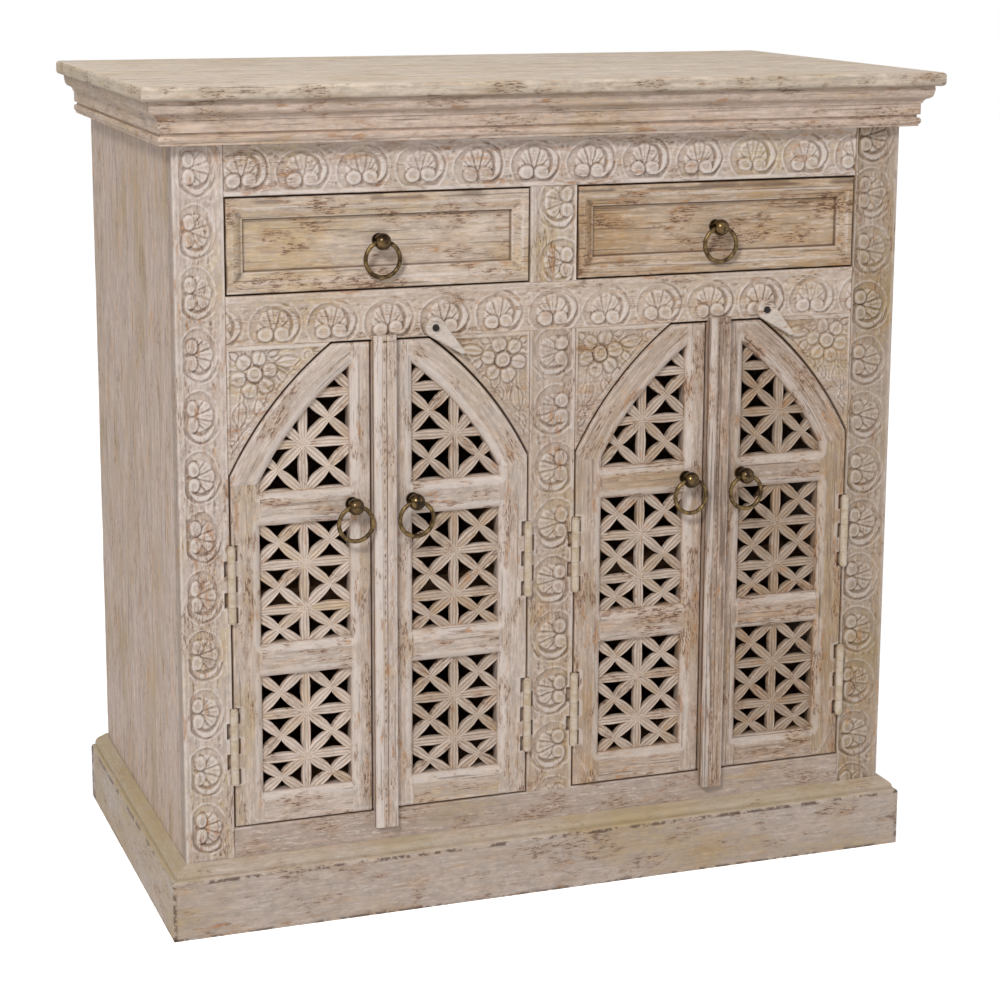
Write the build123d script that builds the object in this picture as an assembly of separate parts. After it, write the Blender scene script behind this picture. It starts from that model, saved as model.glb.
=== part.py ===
"""Carved wooden cupboard with two drawers over two pairs of lattice doors.

Millimetres, +Z up, the front faces -Y and X runs to the right along the front. The origin is on
the floor, under the centre of the whole cupboard's box.
"""
from build123d import *
import os
from math import acos, cos, hypot, sin, sqrt

# ---- carcass ----
BODY_WIDTH = 822.0
BODY_DEPTH = 435.0
BODY_LIFT = 4.0  # the boards of the body end this far above the floor, the plinth carries them
BOARD = 20.0  # side panels and centre partition
BACK_BOARD = 10.0
FRAME_THICKNESS = 22.0
BEHIND_GAP = 2.0  # from the backs of the doors and drawer fronts to the boards behind
SHELF_THICKNESS = 16.0
SHELF_HEIGHT = 330.0
SHELF_SETBACK = 60.0  # from the back of the doors to the front edge of a shelf
DOOR_STOP = 6.0  # the bottom board stands this far up behind the doors
BOTTOM_BOARD = 18.0
DECK_THICKNESS = 18.0

# ---- face frame, heights from the floor ----
STILE_WIDTH = 53.0
CENTRE_STILE_WIDTH = 53.0
DOOR_OPENING_BOTTOM = 111.0
ARCH_SPRING = 495.0
DOOR_OPENING_TOP = 630.0
MID_RAIL = 52.0
DRAWER_OPENING = 102.0
TOP_RAIL = 54.0  # what shows below the cornice
ARCH_FLAT_HALF = 54.5  # half of the level stretch at the head of a pair of doors
ARCH_BULGE = 10.0  # how far the slanting sides of the head bow outwards

# ---- top, cornice and plinth ----
TOP_THICKNESS = 15.0
TOP_OVERHANG = 36.0
TOP_NOSE = 4.0
CORNICE_HEIGHT = 45.0
CORNICE_OVERHANG = 27.5
PLINTH_HEIGHT = 78.0
PLINTH_OVERHANG = 18.6
BACK_OVERHANG = 12.0

# ---- drawers ----
DRAWER_GAP = 2.0
DRAWER_RIM_SIDE = 5.9
DRAWER_RIM_TOP = 9.8
DRAWER_BEVEL = 11.5
DRAWER_BEVEL_DEPTH = 4.0
DRAWER_RECESS = 9.0
DRAWER_LENGTH = 360.0  # the box behind the front
DRAWER_SIDE_HEIGHT = 78.0
DRAWER_SIDE = 12.0
DRAWER_BOTTOM = 6.0
DRAWER_BOTTOM_LIFT = 8.0
DRAWER_GROOVE = 5.0
DRAWER_SIDE_GAP = 1.0
RUNNING_GAP = 0.3
KICKER_REACH = 14.0
KICKER_THICKNESS = 16.0

# ---- doors ----
HINGE_GAP = 2.0
DOOR_BOTTOM_GAP = 2.0
DOOR_HEAD_GAP = 2.5
MEETING_GAP = 2.2
PANEL_NEAR = 34.5  # lattice opening, from the centre of the pair
DOOR_HINGE_STILE = 31.25
DOOR_BOTTOM_RAIL = 33.0
DOOR_RAIL = 35.5
HEAD_PANEL_DROP = 21.5  # the sill of the top opening lies this far below the spring of the head
HEAD_RAIL = 32.0  # width of the bowed rail along the head of the door
PANEL_ROUND = 5.5  # rounding round each lattice opening
LATTICE_SETBACK = 7.0
LATTICE_THICKNESS = 8.0
LATTICE_GROOVE = 4.0
HIDDEN_SIDE = 7.0  # how far the lattice pattern runs on behind the frame
HIDDEN_LOW = 7.25
LAST_ROW_SHARE = 0.85  # the lowest row of cells against the rows over it
HEAD_ROWS = 3
PETAL_HALF = 4.9
PETAL_TIP_HALF = 2.4
SLANT_PETAL_HALF = 5.4
SMALLEST_HOLE = 8.0  # square millimetres

# ---- meeting strip on the right-hand door of each pair ----
STRIP_WIDTH = 27.0
STRIP_THICKNESS = 10.0
STRIP_LEFT = 11.0  # from the centre of the pair to its left edge, which is the door's edge too
STRIP_ABOVE = 4.0
STRIP_BELOW = 16.0
STRIP_CLEAR = 0.4
REED_COUNT = 4
REED_GROOVE = 1.6

# ---- ring pulls ----
RING_WIRE = 2.3
RING_RADIUS = 18.6
KNOB_BALL = 9.0
KNOB_REACH = 15.0  # from the wood to the centre of the ball
KNOB_BASE = 7.5
KNOB_BASE_THICKNESS = 2.5
KNOB_NECK = 4.0
KNOB_SPINDLE = 2.5
RING_PLAY = 0.3
NUT_RADIUS = 5.0
NUT_THICKNESS = 3.5
DOOR_KNOB_OFFSET = 33.5

# ---- hinges ----
HINGE_HEIGHT = 80.0
LOWER_HINGE = 202.0
UPPER_HINGE = 379.0
BARREL_RADIUS = 4.2
PIN_RADIUS = 2.0
PIN_PLAY = 0.05
PIN_HEAD = 1.5
PIN_HEAD_RADIUS = 3.4
BARREL_STANDOUT = 2.0  # the pin's line stands this far in front of the face frame
BARREL_POCKET = 0.4
KNUCKLES = 5
KNUCKLE_GAP = 0.3
LEAF_THICKNESS = 1.4
LEAF_PLAY = 0.1  # between the two closed leaves, on each side of the pin's line
LEAF_DEPTH = 16.0
HINGE_SCREW_RADIUS = 1.5
HINGE_SCREW_LENGTH = 12.0
HINGE_SCREW_SPACING = 27.0
HINGE_SCREW_DEPTH = 9.6  # from the face of the frame to the screws

# ---- turn latches ----
LATCH_OFFSET = 57.0  # from the centre of the pair to the screw
LATCH_RISE = 10.0  # the screw above the door opening
LATCH_HEAD = 11.0
LATCH_LENGTH = 42.0
LATCH_TIP = 2.2
LATCH_THICKNESS = 7.0
LATCH_ROUND = 1.5
LATCH_LEAN = 48.0  # degrees from straight down, just clear of the door's head
WASHER_RADIUS = 5.0
WASHER_THICKNESS = 1.2
LATCH_SCREW_RADIUS = 2.0
LATCH_SCREW_HEAD = 3.8
LATCH_DOME = 2.3
LATCH_SCREW_LENGTH = 26.0
LATCH_PLAY = 0.15

# ---- places worked out from the sizes above ----
HALF_WIDTH = BODY_WIDTH / 2
TOTAL_DEPTH = TOP_OVERHANG + BODY_DEPTH + BACK_OVERHANG
FRONT = TOP_OVERHANG - TOTAL_DEPTH / 2
BODY_BACK = FRONT + BODY_DEPTH
BACK = BODY_BACK + BACK_OVERHANG
BEHIND_FRAME = FRONT + FRAME_THICKNESS
BACK_BOARD_FRONT = BODY_BACK - BACK_BOARD

DOOR_THICKNESS = FRAME_THICKNESS - BEHIND_GAP
DRAWER_FRONT = FRAME_THICKNESS - BEHIND_GAP

OPENING_FAR = HALF_WIDTH - STILE_WIDTH
OPENING_NEAR = CENTRE_STILE_WIDTH / 2
PAIR_CENTRE = (OPENING_FAR + OPENING_NEAR) / 2
OPENING_HALF = (OPENING_FAR - OPENING_NEAR) / 2
DRAWER_LOW = DOOR_OPENING_TOP + MID_RAIL
DRAWER_HIGH = DRAWER_LOW + DRAWER_OPENING
CORNICE_LOW = DRAWER_HIGH + TOP_RAIL
BODY_TOP = CORNICE_LOW + CORNICE_HEIGHT

ARCH_RUN = OPENING_HALF - ARCH_FLAT_HALF
ARCH_RISE = DOOR_OPENING_TOP - ARCH_SPRING
ARCH_CHORD = hypot(ARCH_RUN, ARCH_RISE)
ARCH_RADIUS = (ARCH_CHORD**2 / 4 + ARCH_BULGE**2) / (2 * ARCH_BULGE)
ARCH_MIDDLE = ((OPENING_HALF + ARCH_FLAT_HALF) / 2, (ARCH_SPRING + DOOR_OPENING_TOP) / 2)
ARCH_CENTRE = (
    ARCH_MIDDLE[0] - (ARCH_RADIUS - ARCH_BULGE) * ARCH_RISE / ARCH_CHORD,
    ARCH_MIDDLE[1] - (ARCH_RADIUS - ARCH_BULGE) * ARCH_RUN / ARCH_CHORD,
)

DOOR_LOW = DOOR_OPENING_BOTTOM + DOOR_BOTTOM_GAP
DOOR_HIGH = DOOR_OPENING_TOP - DOOR_HEAD_GAP
DOOR_BACK = FRONT + DOOR_THICKNESS
DOOR_HINGE_EDGE = OPENING_HALF - HINGE_GAP
PANEL_FAR = DOOR_HINGE_EDGE - DOOR_HINGE_STILE
TOP_PANEL_LOW = ARCH_SPRING - HEAD_PANEL_DROP
LOWER_PANEL_LOW = DOOR_LOW + DOOR_BOTTOM_RAIL
PANEL_HEIGHT = (TOP_PANEL_LOW - LOWER_PANEL_LOW) / 2 - DOOR_RAIL
LOWER_PANEL_HIGH = LOWER_PANEL_LOW + PANEL_HEIGHT
MIDDLE_PANEL_LOW = LOWER_PANEL_HIGH + DOOR_RAIL
MIDDLE_PANEL_HIGH = MIDDLE_PANEL_LOW + PANEL_HEIGHT
CELL_WIDTH = (PANEL_FAR - PANEL_NEAR) / 2 + HIDDEN_SIDE
CELL_HEIGHT = (PANEL_HEIGHT + LATTICE_GROOVE + HIDDEN_LOW) / (2 + LAST_ROW_SHARE)
DOOR_KNOB_HEIGHT = MIDDLE_PANEL_HIGH + DOOR_RAIL / 2
LATTICE_FRONT = FRONT + LATTICE_SETBACK
LATTICE_BACK = LATTICE_FRONT + LATTICE_THICKNESS

BOTTOM_BOARD_TOP = DOOR_LOW + DOOR_STOP
DECK_TOP = DRAWER_LOW + DRAWER_GAP - RUNNING_GAP
DRAWER_BOX_LOW = DRAWER_LOW + DRAWER_GAP
DRAWER_BOX_HIGH = DRAWER_BOX_LOW + DRAWER_SIDE_HEIGHT
DRAWER_BOX_HALF = OPENING_HALF - DRAWER_SIDE_GAP
DRAWER_BOX_FRONT = FRONT + DRAWER_FRONT
DRAWER_BOX_BACK = DRAWER_BOX_FRONT + DRAWER_LENGTH
DRAWER_FLOOR = DRAWER_BOX_LOW + DRAWER_BOTTOM_LIFT

HINGE_LINE = OPENING_HALF - HINGE_GAP / 2
HINGE_LINE_Y = FRONT - BARREL_STANDOUT
HINGE_HEIGHTS = (LOWER_HINGE, UPPER_HINGE)
LATCH_HEIGHT = DOOR_OPENING_TOP + LATCH_RISE
RING_INSIDE = RING_RADIUS - RING_WIRE
LATCH_SCREW_HEAD_BACK = FRONT - WASHER_THICKNESS - LATCH_THICKNESS - LATCH_PLAY

os.makedirs("parts", exist_ok=True)


def save(node, shape):
    """Write one sub-part; a list becomes a group of separate solids."""
    solids = shape if isinstance(shape, list) else [shape]
    pieces = [piece for one in solids for piece in one.solids()]
    export_step(pieces[0] if len(pieces) == 1 else Compound(children=pieces), f"parts/{node}.step")


# ---- plain helpers ----
def block(x0, x1, y0, y1, z0, z1):
    """Board between two opposite corners."""
    middle = Pos((x0 + x1) / 2, (y0 + y1) / 2, (z0 + z1) / 2)
    return middle * Box(abs(x1 - x0), abs(y1 - y0), abs(z1 - z0))


def from_front(outline, y_front, y_back):
    """Solid of an outline drawn in front view, between two depths."""
    return extrude(Plane.XZ.offset(-y_back) * outline, y_back - y_front)


def rod_y(x, z, radius, y_front, y_back):
    """Round bar that runs front to back."""
    return Pos(x, (y_front + y_back) / 2, z) * Rot(90, 0, 0) * Cylinder(radius, y_back - y_front)


def rod_z(x, y, radius, z0, z1):
    return Pos(x, y, (z0 + z1) / 2) * Cylinder(radius, z1 - z0)


def mirrored(shape):
    """The same piece for the left-hand half."""
    return mirror(shape, about=Plane.YZ)


def placed(shape, side, centre):
    """A piece drawn for the right-hand half of a pair of doors, put into its pair."""
    turned = shape if side > 0 else mirrored(shape)
    return Pos(centre, 0, 0) * turned


# ---- the curve over a pair of doors ----
def arch_height(u, inset):
    """Height of the bowed line at a distance u from the pair's centre, inset from the opening."""
    return ARCH_CENTRE[1] + sqrt((ARCH_RADIUS - inset) ** 2 - (u - ARCH_CENTRE[0]) ** 2)


def arch_reach(z, inset):
    """Distance from the pair's centre to the bowed line at a height."""
    return ARCH_CENTRE[0] + sqrt((ARCH_RADIUS - inset) ** 2 - (z - ARCH_CENTRE[1]) ** 2)


def arch_arc(low, high, inset):
    """The bowed line between two of its points."""
    halfway = (low[1] + high[1]) / 2
    return ThreePointArc(low, (arch_reach(halfway, inset), halfway), high)


def door_outline(free_edge):
    """One door in front view, from its free edge to its hinge edge."""
    spring = (DOOR_HINGE_EDGE, arch_height(DOOR_HINGE_EDGE, DOOR_HEAD_GAP))
    shoulder = (arch_reach(DOOR_HIGH, DOOR_HEAD_GAP), DOOR_HIGH)
    lines = [
        Line((free_edge, DOOR_LOW), (DOOR_HINGE_EDGE, DOOR_LOW)),
        Line((DOOR_HINGE_EDGE, DOOR_LOW), spring),
        arch_arc(spring, shoulder, DOOR_HEAD_GAP),
        Line(shoulder, (free_edge, DOOR_HIGH)),
        Line((free_edge, DOOR_HIGH), (free_edge, DOOR_LOW)),
    ]
    return make_face(lines)


def panel_box(low, high, margin):
    """A rectangular lattice opening, grown by a margin."""
    width = PANEL_FAR - PANEL_NEAR + 2 * margin
    middle = Pos((PANEL_FAR + PANEL_NEAR) / 2, (low + high) / 2)
    return middle * Rectangle(width, high - low + 2 * margin)


def panel_head(margin):
    """The bowed lattice opening at the head of a door, grown by a margin."""
    near, far, low = PANEL_NEAR - margin, PANEL_FAR + margin, TOP_PANEL_LOW - margin
    inset = DOOR_HEAD_GAP + HEAD_RAIL - margin
    spring = (far, arch_height(far, inset))
    point = (near, arch_height(near, inset))
    lines = [
        Line((near, low), (far, low)),
        Line((far, low), spring),
        arch_arc(spring, point, inset),
        Line(point, (near, low)),
    ]
    return make_face(lines)


def panel_outlines(margin):
    """The three lattice openings of a door."""
    return [
        panel_box(LOWER_PANEL_LOW, LOWER_PANEL_HIGH, margin),
        panel_box(MIDDLE_PANEL_LOW, MIDDLE_PANEL_HIGH, margin),
        panel_head(margin),
    ]


# ---- lattice ----
def petal(start, end, half):
    """Petal-shaped bar between two points: full in the middle, slim at its ends."""
    x0, z0 = start
    x1, z1 = end
    length = hypot(x1 - x0, z1 - z0)
    across = (-(z1 - z0) / length, (x1 - x0) / length)

    def beside(x, z, reach):
        return (x + across[0] * reach, z + across[1] * reach)

    middle = ((x0 + x1) / 2, (z0 + z1) / 2)
    lines = [
        ThreePointArc(
            beside(x0, z0, PETAL_TIP_HALF), beside(*middle, half), beside(x1, z1, PETAL_TIP_HALF)
        ),
        Line(beside(x1, z1, PETAL_TIP_HALF), beside(x1, z1, -PETAL_TIP_HALF)),
        ThreePointArc(
            beside(x1, z1, -PETAL_TIP_HALF), beside(*middle, -half), beside(x0, z0, -PETAL_TIP_HALF)
        ),
        Line(beside(x0, z0, -PETAL_TIP_HALF), beside(x0, z0, PETAL_TIP_HALF)),
    ]
    return make_face(lines)


def petals(rows):
    """All bars of a lattice with these row lines: the grid, and a cross in each cell."""
    middle = (PANEL_NEAR + PANEL_FAR) / 2
    columns = [middle - CELL_WIDTH, middle, middle + CELL_WIDTH]
    bars = []
    for low, high in zip(rows, rows[1:]):
        bars.append(petal((middle, low), (middle, high), PETAL_HALF))
        for left, right in zip(columns, columns[1:]):
            centre = ((left + right) / 2, (low + high) / 2)
            for corner in ((left, low), (left, high), (right, low), (right, high)):
                bars.append(petal(corner, centre, SLANT_PETAL_HALF))
    for row in rows:
        for left, right in zip(columns, columns[1:]):
            bars.append(petal((left, row), (right, row), PETAL_HALF))
    return bars


def lattice(opening, board, rows):
    """A pierced board: the opening's area between the bars is cut right through."""
    holes = opening - petals(rows)
    open_holes = [hole for hole in holes.faces() if hole.area > SMALLEST_HOLE]
    pierced = from_front(board, LATTICE_FRONT, LATTICE_BACK)
    return pierced - [from_front(hole, LATTICE_FRONT, LATTICE_BACK) for hole in open_holes]


def panel_rows(low, high):
    """Row lines of a rectangular lattice, hung from its top edge."""
    top = high + LATTICE_GROOVE
    return [low - HIDDEN_LOW, top - 2 * CELL_HEIGHT, top - CELL_HEIGHT, top]


def head_rows():
    """Row lines of the lattice in the door's head, from its lower edge to the top of the door."""
    first = TOP_PANEL_LOW - LATTICE_GROOVE
    return [first + (DOOR_HIGH - first) * row / HEAD_ROWS for row in range(HEAD_ROWS + 1)]


def door_lattices():
    """The three lattices of a right-hand door."""
    openings = panel_outlines(0.0)
    boards = panel_outlines(LATTICE_GROOVE)
    rows = [
        panel_rows(LOWER_PANEL_LOW, LOWER_PANEL_HIGH),
        panel_rows(MIDDLE_PANEL_LOW, MIDDLE_PANEL_HIGH),
        head_rows(),
    ]
    return [lattice(*each) for each in zip(openings, boards, rows)]


# ---- hinges, drawn for the right-hand door of a pair ----
def hinge_screw(height, towards, spare):
    """Countersunk screw through a leaf: towards is +1 into the stile, -1 into the door."""
    face = HINGE_LINE + towards * LEAF_PLAY
    shank_end = face + towards * HINGE_SCREW_LENGTH
    y = FRONT + HINGE_SCREW_DEPTH
    turn = Rot(0, 90 * towards, 0)
    shank = Pos((face + shank_end) / 2, y, height) * turn * Cylinder(
        HINGE_SCREW_RADIUS + spare, HINGE_SCREW_LENGTH
    )
    head = Pos(face + towards * LEAF_THICKNESS / 2, y, height) * turn * Cone(
        2 * HINGE_SCREW_RADIUS + spare, HINGE_SCREW_RADIUS + spare, LEAF_THICKNESS
    )
    return shank + head


def screw_heights(height):
    return [height + step * HINGE_SCREW_SPACING for step in (-1, 0, 1)]


def knuckle_span(height, number):
    """Lower and upper end of one knuckle of a hinge."""
    pitch = HINGE_HEIGHT / KNUCKLES
    low = height - HINGE_HEIGHT / 2 + number * pitch
    return low + KNUCKLE_GAP / 2, low + pitch - KNUCKLE_GAP / 2


def hinge_leaf(height, towards):
    """One leaf with its knuckles; the stile's leaf has the odd ones."""
    inner = HINGE_LINE + towards * LEAF_PLAY
    outer = inner + towards * LEAF_THICKNESS
    low, high = height - HINGE_HEIGHT / 2, height + HINGE_HEIGHT / 2
    plate_front = HINGE_LINE_Y + BARREL_RADIUS + BARREL_POCKET
    leaf = block(inner, outer, plate_front, FRONT + LEAF_DEPTH, low, high)
    first = 0 if towards > 0 else 1
    for number in range(first, KNUCKLES, 2):
        bottom, top = knuckle_span(height, number)
        leaf += block(inner, outer, HINGE_LINE_Y, plate_front, bottom, top)
        leaf += rod_z(HINGE_LINE, HINGE_LINE_Y, BARREL_RADIUS, bottom, top)
    leaf -= rod_z(HINGE_LINE, HINGE_LINE_Y, PIN_RADIUS + PIN_PLAY, low, high)
    for screw in screw_heights(height):
        leaf -= hinge_screw(screw, towards, PIN_PLAY)
    return leaf


def hinge_pocket(height, towards):
    """Room in the wood for a leaf, its barrel and its screws."""
    spare = PIN_HEAD + BARREL_POCKET
    low, high = height - HINGE_HEIGHT / 2, height + HINGE_HEIGHT / 2
    outer = HINGE_LINE + towards * (LEAF_PLAY + LEAF_THICKNESS)
    room = block(HINGE_LINE, outer, HINGE_LINE_Y, FRONT + LEAF_DEPTH, low, high)
    room += rod_z(HINGE_LINE, HINGE_LINE_Y, BARREL_RADIUS + BARREL_POCKET, low - spare, high + spare)
    for screw in screw_heights(height):
        room += hinge_screw(screw, towards, PIN_PLAY)
    return room


def hinge_pin(height):
    """Pin with a small round head at both ends."""
    low, high = height - HINGE_HEIGHT / 2, height + HINGE_HEIGHT / 2
    pin = rod_z(HINGE_LINE, HINGE_LINE_Y, PIN_RADIUS, low, high)
    pin += rod_z(HINGE_LINE, HINGE_LINE_Y, PIN_HEAD_RADIUS, high, high + PIN_HEAD)
    pin += rod_z(HINGE_LINE, HINGE_LINE_Y, PIN_HEAD_RADIUS, low - PIN_HEAD, low)
    return pin


# ---- doors ----
def door_frame(free_edge):
    """Frame of a right-hand door: two stiles, three rails and the bowed head rail."""
    plate = from_front(door_outline(free_edge), FRONT, DOOR_BACK)
    plate -= [from_front(hole, FRONT, DOOR_BACK) for hole in panel_outlines(0.0)]
    front_face = plate.faces().sort_by(Axis.Y)[0]
    rims = [edge for wire in front_face.inner_wires() for edge in wire.edges()]
    plate = fillet(rims, PANEL_ROUND)
    plate -= [from_front(slot, LATTICE_FRONT, LATTICE_BACK) for slot in panel_outlines(LATTICE_GROOVE)]
    for height in HINGE_HEIGHTS:
        plate -= hinge_pocket(height, -1)
    plate -= knob_room(DOOR_KNOB_OFFSET, DOOR_KNOB_HEIGHT, FRONT, DOOR_BACK)

    head_joint = arch_height(PANEL_FAR, DOOR_HEAD_GAP + HEAD_RAIL)
    edges = (DOOR_LOW, LOWER_PANEL_HIGH, MIDDLE_PANEL_HIGH)
    tops = (LOWER_PANEL_LOW, MIDDLE_PANEL_LOW, TOP_PANEL_LOW)
    spans = [(free_edge, PANEL_NEAR, DOOR_LOW, DOOR_HIGH)]
    spans.append((PANEL_FAR, DOOR_HINGE_EDGE, DOOR_LOW, head_joint))
    spans += [(PANEL_NEAR, PANEL_FAR, low, high) for low, high in zip(edges, tops)]
    pieces = [plate & block(x0, x1, FRONT, DOOR_BACK, z0, z1) for x0, x1, z0, z1 in spans]
    head = plate & block(PANEL_NEAR, DOOR_HINGE_EDGE, FRONT, DOOR_BACK, head_joint, DOOR_HIGH)
    return pieces + [head]


def meeting_strip():
    """Reeded strip on the free edge of the right-hand door, over the joint of the pair."""
    left, right = -STRIP_LEFT, STRIP_WIDTH - STRIP_LEFT
    low, high = DOOR_OPENING_BOTTOM - STRIP_BELOW, DOOR_OPENING_TOP + STRIP_ABOVE
    strip = block(left, right, FRONT - STRIP_THICKNESS, FRONT, low, high)
    pitch = STRIP_WIDTH / REED_COUNT
    for number in range(1, REED_COUNT):
        groove = rod_z(left + number * pitch, FRONT - STRIP_THICKNESS, REED_GROOVE, low, high)
        strip -= groove
    strip -= block(left, right, FRONT - STRIP_CLEAR, FRONT, DOOR_HIGH, high)
    strip -= block(left, right, FRONT - STRIP_CLEAR, FRONT, low, DOOR_LOW)
    return strip


# ---- ring pulls ----
def knob_outline():
    """Half outline of a knob: reach from its axis against the height over the wood."""
    shoulder = KNOB_REACH - sqrt(KNOB_BALL**2 - KNOB_NECK**2)
    lines = [
        Polyline(
            (0, 0), (KNOB_BASE, 0), (KNOB_BASE, KNOB_BASE_THICKNESS), (KNOB_NECK, KNOB_BASE_THICKNESS),
            (KNOB_NECK, shoulder),
        ),
        ThreePointArc((KNOB_NECK, shoulder), (KNOB_BALL, KNOB_REACH), (0, KNOB_REACH + KNOB_BALL)),
        Line((0, KNOB_REACH + KNOB_BALL), (0, 0)),
    ]
    return make_face(lines)


def knob_mouth():
    """The flared hole through a ball in which a ring hangs: narrow in the middle, wide outside."""
    rest = RING_WIRE + RING_PLAY
    end = KNOB_BALL + 1.0
    mouth = rest + RING_INSIDE - sqrt(RING_INSIDE**2 - end**2)
    lines = [
        Line((-end, 0), (-end, mouth)),
        ThreePointArc((-end, mouth), (0, rest), (end, mouth)),
        Polyline((end, mouth), (end, 0), (-end, 0)),
    ]
    return revolve(make_face(lines), Axis.X)


def knob(x, z, wood, wood_back):
    """Ball on a neck and base with a spindle through the wood and a nut behind it."""
    body = Pos(x, wood, z) * Rot(90, 0, 0) * revolve(Plane.XZ * knob_outline(), Axis.Z)
    body -= Pos(x, wood - KNOB_REACH, z) * knob_mouth()
    body += rod_y(x, z, KNOB_SPINDLE, wood, wood_back)
    nut = rod_y(x, z, NUT_RADIUS, wood_back - NUT_THICKNESS, wood_back)
    nut -= rod_y(x, z, KNOB_SPINDLE, wood_back - NUT_THICKNESS, wood_back)
    return [body, nut]


def knob_room(x, z, wood, wood_back):
    """Bore and nut recess of a knob."""
    nut_front = wood_back - NUT_THICKNESS
    room = rod_y(x, z, KNOB_SPINDLE, wood, wood_back)
    return room + rod_y(x, z, NUT_RADIUS + RUNNING_GAP, nut_front, wood_back)


def ring(x, z, wood):
    """Ring that hangs in the ball of a knob."""
    return Pos(x, wood - KNOB_REACH, z - RING_RADIUS) * Rot(90, 0, 0) * Torus(RING_RADIUS, RING_WIRE)


# ---- turn latches ----
def turn_latch():
    """Pear-shaped wooden button, drawn hanging straight down from the origin."""
    tangent = acos((LATCH_HEAD - LATCH_TIP) / LATCH_LENGTH)
    left = (-LATCH_HEAD * sin(tangent), -LATCH_HEAD * cos(tangent))
    right = (-left[0], left[1])
    tip_left = (-LATCH_TIP * sin(tangent), -LATCH_LENGTH - LATCH_TIP * cos(tangent))
    tip_right = (-tip_left[0], tip_left[1])
    lines = [
        ThreePointArc(left, (0, LATCH_HEAD), right),
        Line(right, tip_right),
        ThreePointArc(tip_right, (0, -LATCH_LENGTH - LATCH_TIP), tip_left),
        Line(tip_left, left),
    ]
    back = FRONT - WASHER_THICKNESS
    body = from_front(make_face(lines), back - LATCH_THICKNESS, back)
    front_edges = body.faces().sort_by(Axis.Y)[0].edges()
    body = fillet(front_edges, LATCH_ROUND)
    return body - rod_y(0, 0, LATCH_SCREW_RADIUS + LATCH_PLAY, back - LATCH_THICKNESS, back)


def latch_screw():
    """Washer and round-headed screw of a latch, drawn at the origin."""
    washer = rod_y(0, 0, WASHER_RADIUS, FRONT - WASHER_THICKNESS, FRONT)
    washer -= rod_y(0, 0, LATCH_SCREW_RADIUS, FRONT - WASHER_THICKNESS, FRONT)
    head_back = LATCH_SCREW_HEAD_BACK
    screw = rod_y(0, 0, LATCH_SCREW_RADIUS, head_back, head_back + LATCH_SCREW_LENGTH)
    dome = Pos(0, head_back, 0) * Sphere(LATCH_SCREW_HEAD)
    dome &= rod_y(0, 0, LATCH_SCREW_HEAD, head_back - LATCH_DOME, head_back)
    return [washer, screw + dome]


# ---- mouldings that run round the body ----
def run_round(profile, overhang, low, high):
    """Front, right and left lengths of a moulding with mitred corners, and a plain back."""
    w, e = HALF_WIDTH, overhang
    far = 2 * (w + e)
    front_plan = [(-w, FRONT), (-w - e, FRONT - e), (w + e, FRONT - e), (w, FRONT)]
    side_plan = [(w, FRONT), (w + e, FRONT - e), (w + e, BACK), (w, BACK)]
    front_bar = Pos(-w - e, FRONT, 0) * extrude(Plane.YZ * profile, far)
    front = front_bar & extrude(Pos(0, 0, low) * make_face(Polyline(*front_plan, close=True)), high - low)
    side_bar = Pos(w, BACK, 0) * Rot(0, 0, 90) * extrude(Plane.YZ * profile, -2 * TOTAL_DEPTH)
    right = side_bar & extrude(Pos(0, 0, low) * make_face(Polyline(*side_plan, close=True)), high - low)
    back = block(-w, w, BODY_BACK, BACK, low, high)
    return [front, right, mirrored(right), back]


def plinth():
    """Skirting board: flat face, small quirk, and a rounded slope up to the body."""
    e, h = -PLINTH_OVERHANG, PLINTH_HEIGHT
    lines = [
        Polyline((0, 0), (e, 0), (e, h - 16.0)),
        RadiusArc((e, h - 16.0), (e + 3.6, h - 12.0), 4.0),
        Line((e + 3.6, h - 12.0), (e + 5.0, h - 12.0)),
        Line((e + 5.0, h - 12.0), (e + 5.0, h - 9.0)),
        RadiusArc((e + 5.0, h - 9.0), (e + 12.0, h - 3.0), 8.5),
        Polyline((e + 12.0, h - 3.0), (0, h), (0, 0)),
    ]
    return run_round(make_face(lines), PLINTH_OVERHANG, 0, h)


def cornice():
    """Moulding under the top: upright band, ogee, flat band, groove and a small round band."""
    e, low, high = -CORNICE_OVERHANG, CORNICE_LOW, BODY_TOP
    lines = [
        Line((0, high), (e + 0.6, high)),
        ThreePointArc((e + 0.6, high), (e, high - 3.8), (e + 0.8, high - 8.0)),
        ThreePointArc((e + 0.8, high - 8.0), (e + 2.1, high - 11.9), (e + 5.6, high - 14.2)),
        ThreePointArc((e + 5.6, high - 14.2), (e + 8.6, high - 16.2), (e + 9.7, high - 19.5)),
        Polyline(
            (e + 9.7, high - 19.5), (e + 11.2, high - 19.5), (e + 11.2, high - 32.0),
            (e + 14.2, high - 32.0), (e + 14.2, high - 35.5), (e + 12.0, high - 35.5),
        ),
        ThreePointArc((e + 12.0, high - 35.5), (e + 10.6, high - 39.0), (e + 12.0, high - 42.5)),
        Polyline((e + 12.0, high - 42.5), (e + 12.6, high - 42.5), (e + 12.6, low), (0, low), (0, high)),
    ]
    return run_round(make_face(lines), CORNICE_OVERHANG, low, high)


# ---- face frame ----
def hinge_room(side_of_centre):
    """Pockets of the hinges on both edges of each pair's opening, for one half of the cupboard."""
    rooms = []
    for side in (-1, 1):
        for height in HINGE_HEIGHTS:
            rooms.append(placed(hinge_pocket(height, 1), side, side_of_centre * PAIR_CENTRE))
    return rooms


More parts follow.
